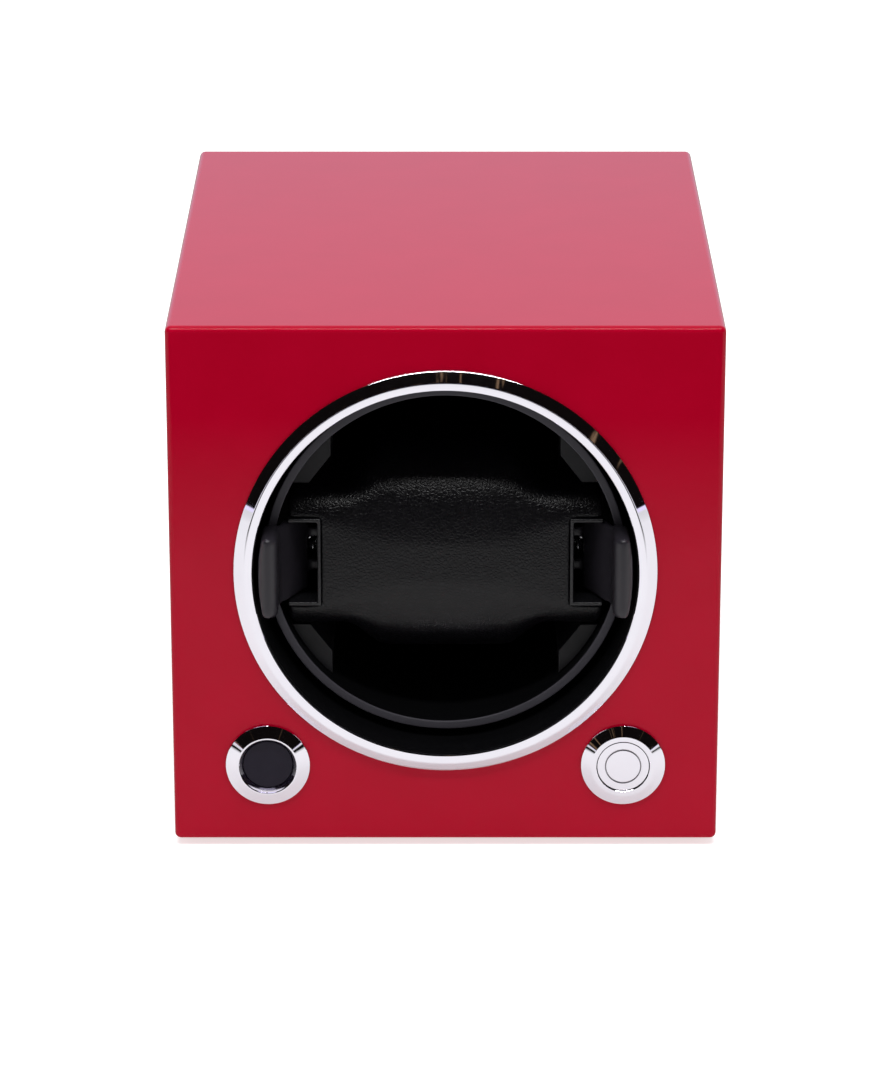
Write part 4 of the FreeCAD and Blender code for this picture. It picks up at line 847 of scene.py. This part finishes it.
@dataclass
class Cuff:
    """The padded cuff with its notch trims, release clips and springs.

    The squeeze is 0.12 more than a clip's travel, so that its coil stays clear of the clip's soft mesh.
    """

    voxel: float = 0.9
    swell_cap: float = 0.45
    pressure: float = 4.0
    frames: int = 20
    tunnel_half: float = 10.2
    blend_from: float = 11.5
    blend_to: float = 23.5
    shoulder_smooth: int = 12
    skin_smooth: int = 2
    held_depth: float = 8.0
    clip_voxel: float = 0.4
    clip_smooth: int = 6
    lip_smooth: int = 14
    lip_depth: float = 6.4
    trim_round: float = 0.3
    squeeze: float = 2.62
    coil: float = 1.5
    coil_wire: float = 0.5
    coil_turns: int = 8
    fill: float = 0.9

    def build(self) -> None:
        """Builds and dresses the cuff's pieces."""
        self.pad()
        for side in SIDES:
            trim = eased_copy(f"{side}_notch_trim", f"{side}_notch_edging", self.trim_round)
            finished(trim, "holder", f"{side}_notch_trim")
            self.clip(side)

    def pad(self) -> None:
        """Swells a voxel copy of the cuff's solid into a leather-covered pad."""
        pad = copy_of("cuff_pad", "leather_cuff")
        pad.data.remesh_voxel_size = self.voxel * MM
        pad.data.use_remesh_preserve_volume = True
        bpy.ops.object.voxel_remesh()
        self.ease_shoulders(pad)
        self.swell(pad)
        apply(pad, "SUBSURF", levels=1, render_levels=1)
        finished(pad, "holder", "cuff_pad", smooth=True)

    def ease_shoulders(self, pad: bpy.types.Object) -> None:
        """Smooths the flow from the wings to the roll, and a little all over.

        Args:
            pad: The remeshed pad.
        """

        def on_shoulder(middle: Vector, normal: Vector) -> bool:
            """Whether a face lies where a wing meets the roll, off the tunnel."""
            return self.blend_from < abs(middle.x) < self.blend_to and abs(middle.z - AXIS_Z) >= self.tunnel_half

        pick_faces(pad, on_shoulder)
        bpy.ops.mesh.vertices_smooth(factor=SMOOTHING, repeat=self.shoulder_smooth)
        bpy.ops.mesh.select_all(action="SELECT")
        bpy.ops.mesh.vertices_smooth(factor=SMOOTHING, repeat=self.skin_smooth)
        bpy.ops.object.mode_set(mode="OBJECT")

    def swell(self, pad: bpy.types.Object) -> None:
        """Presses the pad's skin out as cloth under pressure, with its tunnel held still.

        Args:
            pad: The remeshed pad.
        """
        mesh = pad.data
        held = pad.vertex_groups.new(name="held")
        tunnel = [vertex.index for vertex in mesh.vertices
                  if abs(vertex.co.z / MM - AXIS_Z) < self.tunnel_half and vertex.co.y / MM > FRONT_Y + self.held_depth]
        held.add(tunnel, 1.0, "REPLACE")
        cloth = pad.modifiers.new("swell", "CLOTH")
        cloth.settings.use_pressure = True
        cloth.settings.uniform_pressure_force = self.pressure
        cloth.settings.effector_weights.gravity = 0.0
        cloth.settings.vertex_group_mass = held.name
        cloth.point_cache.frame_end = self.frames
        for step in range(1, self.frames + 1):
            bpy.context.scene.frame_set(step)
        shape = pad.evaluated_get(bpy.context.evaluated_depsgraph_get()).data
        moved = []
        for before, after in zip(mesh.vertices, shape.vertices):
            push = after.co - before.co
            push.length = min(push.length, self.swell_cap * MM)
            moved.append(before.co + push)
        pad.modifiers.remove(cloth)
        for vertex, place in zip(mesh.vertices, moved):
            vertex.co = place
        bpy.context.scene.frame_set(1)

    def clip(self, side: str) -> None:
        """Models a soft-touch clip with rounded edges, and its coil spring.

        Args:
            side: The clip's side.
        """
        clip = copy_of(f"{side}_clip", f"{side}_release_clip")
        clip.data.remesh_voxel_size = self.clip_voxel * MM
        bpy.ops.object.voxel_remesh()
        pick_faces(clip, lambda middle, normal: middle.y - FRONT_Y < self.lip_depth)
        bpy.ops.mesh.vertices_smooth(factor=SMOOTHING, repeat=self.lip_smooth)
        bpy.ops.mesh.select_all(action="SELECT")
        bpy.ops.mesh.vertices_smooth(factor=SMOOTHING, repeat=self.clip_smooth)
        bpy.ops.object.mode_set(mode="OBJECT")
        finished(clip, f"{side}_clip", f"{side}_clip", smooth=True)
        way = SIDES[side]
        low, high = span(f"{side}_clip_spring")
        fixed = Vector((high.x if way < 0 else low.x, (low.y + high.y) / 2, (low.z + high.z) / 2))
        spring = Spring(f"{side}_clip_coil", fixed, Vector((way, 0, 0)), high.x - low.x, self.coil,
                        self.coil_wire, self.coil_turns)
        spring.build("holder", f"{side}_clip_spring", f"{side}_clip_squeeze", self.squeeze)


@dataclass
class Spring:
    """A coil spring, wound from wire."""

    name: str
    fixed_end: Vector
    way: Vector
    length: float
    radius: float
    wire: float
    turns: int
    steps: int = 28
    wire_sides: int = 10
    smooth_angle: float = 50.0

    def build(self, body: str, node: str, joint: str, travel: float) -> None:
        """Winds the wire with a screw and closes its ends.

        Args:
            body: The body that the spring rides on.
            node: The CAD node that it replaces.
            joint: The joint that squashes the real spring. Not used.
            travel: How far the loose end goes at the joint's limit, in millimetres. Not used.
        """
        clear()
        along_x = self.way.x != 0
        bpy.ops.mesh.primitive_circle_add(vertices=self.wire_sides, radius=self.wire / 2 * MM,
                                          rotation=(math.pi / 2, 0, 0) if along_x else (0, 0, 0))
        spring = named(self.name)
        edit()
        offset = self.way * (self.wire / 2) + Vector((0, 0, self.radius) if along_x else (self.radius, 0, 0))
        bpy.ops.transform.translate(value=offset * MM)
        bpy.ops.object.mode_set(mode="OBJECT")
        rise = (self.length - self.wire) * (self.way.x if along_x else self.way.y)
        apply(spring, "SCREW", axis="X" if along_x else "Y", angle=2 * math.pi * self.turns,
              screw_offset=rise * MM, steps=self.steps * self.turns, render_steps=self.steps * self.turns,
              use_merge_vertices=True, merge_threshold=MERGE / 2)
        spring.location = self.fixed_end * MM
        only(spring)
        bpy.ops.object.transform_apply(location=True)
        edit("DESELECT")
        bpy.ops.mesh.select_non_manifold()
        bpy.ops.mesh.edge_face_add()
        tidy_mesh()
        bpy.ops.object.mode_set(mode="OBJECT")
        shade(spring, self.smooth_angle)
        finished(spring, body, node)
        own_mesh(spring)


@dataclass
class Controls:
    """The chromed button and indicator in the front of the case."""

    barrel: float = 7.0
    flange_edge: float = 0.62
    proud: float = 1.5
    land: float = 1.08
    button_bore: float = 5.62
    button_recess: float = 0.25
    button: float = 5.45
    button_thickness: float = 4.0
    groove: Pair = (3.59, 3.84)
    groove_depth: float = 0.25
    groove_slack: float = 0.05
    stem: float = 1.8
    coil: float = 2.5
    coil_wire: float = 0.7
    coil_turns: int = 7
    press: float = 1.0
    window: float = 6.1
    window_land: float = 0.3
    lens: float = 5.25
    lens_bore: float = 5.35
    lens_recess: float = 1.3
    lens_thickness: float = 2.0
    rolled: float = 0.1
    rolled_angle: float = 12.0
    steps: int = 128
    lens_steps: int = 96

    def build(self) -> None:
        """Builds and dresses the two controls."""
        self.button_pieces()
        self.indicator_pieces()

    def flange(self, name: str, node: str, crest: float, mouth: Profile) -> bpy.types.Object:
        """Turns a flange with its barrel.

        Args:
            name: The piece's name.
            node: The CAD node that it replaces.
            crest: The radius where the bevel ends.
            mouth: The (radius, depth) points from the crest in to the bore.

        Returns:
            The piece.
        """
        low, high = span(node)
        middle = (low + high) / 2
        outer = (high.x - low.x) / 2
        end = high.y - FRONT_Y
        profile = [(outer, 0), (outer, -self.flange_edge), (crest, -self.proud), *mouth, (mouth[-1][0], end),
                   (self.barrel, end), (self.barrel, 0)]
        piece = turned(name, profile, at(middle.x, 0, middle.z), self.steps)
        ease_edges(piece, self.rolled, angle=self.rolled_angle)
        return finished(piece, "cabinet", node)

    def button_pieces(self) -> None:
        """Builds the button, its flange and its spring."""
        self.flange("button_flange", "button_bezel", self.button_bore + self.land, [(self.button_bore, -self.proud)])
        low, high = span("push_button")
        middle = (low + high) / 2
        face = self.button_recess - self.proud
        back = face + self.button_thickness
        end = high.y - FRONT_Y
        inner, outer = self.groove
        floor = face + self.groove_depth
        margin = self.rolled * 2
        profile = [(0, face), (inner - margin, face), (inner, face), (inner, floor), (outer, floor), (outer, face),
                   (outer + margin, face), (self.button - margin, face), (self.button, face), (self.button, back),
                   (self.stem, back), (self.stem, end), (0, end)]
        button = turned("button_cap", profile, at(middle.x, 0, middle.z), self.steps)
        ease_edges(button, self.rolled / 2, 2)
        finished(button, "button", "push_button")
        paint(button, ENGRAVED_FINISH, lambda place, normal: place.y - FRONT_Y > face + self.groove_slack
              and inner - self.groove_slack < off_axis(place, middle.x, middle.z) < outer + self.groove_slack)
        low, high = span("button_spring")
        fixed = Vector((middle.x, high.y, middle.z))
        spring = Spring("button_coil", fixed, Vector((0, -1, 0)), high.y - low.y, self.coil, self.coil_wire,
                        self.coil_turns)
        spring.build("cabinet", "button_spring", "button_press", self.press)

    def indicator_pieces(self) -> None:
        """Builds the indicator's flange and its lens."""
        front = self.lens_recess - self.proud
        self.flange("indicator_flange", "indicator_bezel", self.window + self.window_land,
                    [(self.window, -self.proud), (self.lens_bore, front)])
        low, high = span("indicator_lens")
        middle = (low + high) / 2
        back = front + self.lens_thickness
        profile = [(0, front), (self.lens, front), (self.lens, back), (0, back)]
        lens = turned("indicator_window", profile, at(middle.x, 0, middle.z), self.lens_steps)
        ease_edges(lens, self.rolled * 2)
        finished(lens, "cabinet", "indicator_lens")


class Works:
    """The pieces inside the case, which keep their CAD shapes."""

    def dress(self) -> None:
        """Gives every CAD node that still shows the finish of its slot."""
        for name, node in frame["nodes"].items():
            if node.hide_render:
                continue
            for slot in node.material_slots:
                slot.material = FINISHES[SLOT_OF[name]].material()
            LOG.info("%s keeps its CAD shape with the finish %s", name, SLOT_OF[name])


@dataclass
class Studio:
    """The camera, the pale floor and the soft light around the object.

    Shiny surfaces see a white table, a white backdrop and a soft lamp overhead, with a dim room between them in front.
    The ranges of the room are directions, from -1 to 1 along an axis.
    """

    lens: float = 150.43
    pitch: float = 19.31
    distance: float = 937.0
    target: Triple = (-0.2, 0.0, 68.94)
    clip: Pair = (50.0, 50000.0)
    floor_half: float = 4000.0
    floor_colour: Colour = (0.7, 0.7, 0.7)
    floor_rough: float = 0.9
    floor_glow: float = 0.65
    floor_sheen: Pair = (0.08, 0.5)
    floor_reach: Pair = (200.0, 900.0)
    floor_bounce: float = 0.5
    bounce_reach: float = 300.0
    table_edge: Pair = (-370.0, -250.0)
    table_side: Pair = (350.0, 500.0)
    ambient: float = 0.42
    backdrop: Colour = (0.92, 0.86, 1.12)
    backdrop_edge: Pair = (0.0, 0.1)
    room: Colour = (0.004, 0.003, 0.003)
    room_floor: Pair = (0.0, 0.004)
    room_ceiling: Pair = (0.87, 0.93)
    glimpse: Colour = (0.22, 0.14, 0.08)
    streak_stretch: Triple = (12.0, 3.0, 2.0)
    streak_scale: float = 2.2
    streak_detail: float = 3.0
    streak_range: Pair = (0.63, 0.7)
    top_light: float = 4.6
    top_size: Pair = (600.0, 600.0)
    top_place: Triple = (0.0, 60.0, 900.0)
    front_light: float = 4.6
    front_size: Pair = (900.0, 110.0)
    front_place: Triple = (0.0, -385.0, 890.0)

    def build(self) -> None:
        """Sets the stage."""
        self.camera()
        self.floor()
        self.world()
        self.lamp("soft_top", at(*self.top_place), self.top_size, self.top_light).visible_glossy = False
        self.lamp("soft_front", at(*self.front_place), self.front_size, self.front_light)
        bpy.context.scene.view_settings.view_transform = "Standard"

    def camera(self) -> None:
        """Places the camera at the photograph's viewing angle."""
        data = bpy.data.cameras.new("camera")
        data.lens = self.lens
        data.clip_start, data.clip_end = (end * MM for end in self.clip)
        camera = bpy.data.objects.new("camera", data)
        bpy.context.scene.collection.objects.link(camera)
        pitch = math.radians(self.pitch)
        back = Vector((0, -math.cos(pitch), math.sin(pitch)))
        camera.location = (at(*self.target) + back * self.distance) * MM
        camera.rotation_euler = (math.pi / 2 - pitch, 0, 0)
        bpy.context.scene.camera = camera

    def floor(self) -> None:
        """Lays the pale floor, which shows white, keeps the shadow and ends in front for shiny surfaces."""
        clear()
        bpy.ops.mesh.primitive_plane_add(size=2 * self.floor_half * MM)
        floor = named("floor")
        material = bpy.data.materials.new("pale_floor")
        material.use_nodes = True
        wiring = Wiring(material.node_tree)
        path = wiring.add("LightPath").outputs
        place = wiring.stretched(wiring.add("TexCoord").outputs["Object"], (1 / MM, 1 / MM, 1 / MM))
        axes = wiring.add("SeparateXYZ", {"Vector": place}).outputs
        aside = wiring.math("ABSOLUTE", axes["X"], 0.0)
        ahead = wiring.math("MULTIPLY", wiring.ramp(axes["Y"], self.table_edge, (1.0, 0.0)),
                            wiring.ramp(aside, self.table_side, (1.0, 0.0)))
        gone = wiring.math("MULTIPLY", ahead, path["Is Glossy Ray"])
        near = wiring.math("SUBTRACT", path["Is Glossy Ray"], gone)
        lit = wiring.ramp(axes["Y"], (FRONT_Y - self.bounce_reach, FRONT_Y), (0.0, self.floor_bounce))
        glow = wiring.math("MULTIPLY", self.looked_at(wiring, path), self.floor_glow)
        sheen = wiring.math("MULTIPLY", near, wiring.ramp(aside, self.floor_reach, self.floor_sheen))
        bounce = wiring.math("MULTIPLY", lit, path["Is Diffuse Ray"])
        light = wiring.math("ADD", glow, wiring.math("ADD", bounce, sheen))
        wiring.feed(material.node_tree.nodes["Principled BSDF"], {
            "Base Color": wiring.mix(gone, self.floor_colour, self.room), "Roughness": self.floor_rough,
            "Specular IOR Level": 0.0, "Emission Color": (1.0, 1.0, 1.0, 1.0), "Emission Strength": light})
        floor.data.materials.append(material)

    def looked_at(self, wiring: Wiring, path: bpy.types.NodeOutputs) -> Socket:
        """Tells the rays that look straight, or through something clear, from the others."""
        return wiring.math("MAXIMUM", path["Is Camera Ray"], path["Is Transmission Ray"])

    def world(self) -> None:
        """Fills the room with soft light: white to the camera, with a dim stretch ahead for shiny surfaces."""
        world = bpy.data.worlds.new("studio")
        bpy.context.scene.world = world
        world.use_nodes = True
        wiring = Wiring(world.node_tree)
        path = wiring.add("LightPath").outputs
        plain = wiring.ramp(self.looked_at(wiring, path), (0.0, 1.0), (self.ambient, 1.0))
        colour = wiring.mix(path["Is Glossy Ray"], plain, self.reflected(wiring))
        wiring.feed(world.node_tree.nodes["Background"], {"Color": colour})

    def reflected(self, wiring: Wiring) -> Socket:
        """Gives what shiny surfaces see around the object.

        Args:
            wiring: The world's nodes.

        Returns:
            The colour by direction.
        """
        place = wiring.add("TexCoord").outputs["Generated"]
        axes = wiring.add("SeparateXYZ", {"Vector": place}).outputs
        behind = wiring.ramp(axes["Y"], self.backdrop_edge)
        above = wiring.ramp(axes["Z"], self.room_ceiling)
        below = wiring.ramp(axes["Z"], self.room_floor, (1.0, 0.0))
        white = wiring.math("MAXIMUM", wiring.math("MAXIMUM", behind, above), below)
        noise = wiring.noise(wiring.stretched(place, self.streak_stretch), self.streak_scale, self.streak_detail)
        room = wiring.mix(wiring.ramp(noise, self.streak_range), self.room, self.glimpse)
        return wiring.mix(white, room, self.backdrop)

    def lamp(self, name: str, place: Vector, size: Pair, power: float) -> bpy.types.Object:
        """Hangs an oval soft lamp that leans towards the window.

        Args:
            name: The lamp's name.
            place: Where it hangs, in millimetres.
            size: Its width and height in millimetres.
            power: Its power in watts.

        Returns:
            The lamp.
        """
        data = bpy.data.lights.new(name, "AREA")
        data.shape = "ELLIPSE"
        data.size, data.size_y = size[0] * MM, size[1] * MM
        data.energy = power
        lamp = bpy.data.objects.new(name, data)
        lamp.location = place * MM
        lamp.rotation_euler = (math.atan2(FRONT_Y - place.y, place.z - AXIS_Z), 0, 0)
        bpy.context.scene.collection.objects.link(lamp)
        return lamp


def main() -> None:
    """Builds the sub-assemblies in order, then dresses the kept CAD nodes and sets the stage."""
    logging.basicConfig(level=logging.INFO, format="%(name)s: %(message)s")
    for assembly in (Case(), Window(), Drum(), Cuff(), Controls()):
        assembly.build()
    Works().dress()
    Studio().build()
    clear()


if __name__ == "__main__":
    main()
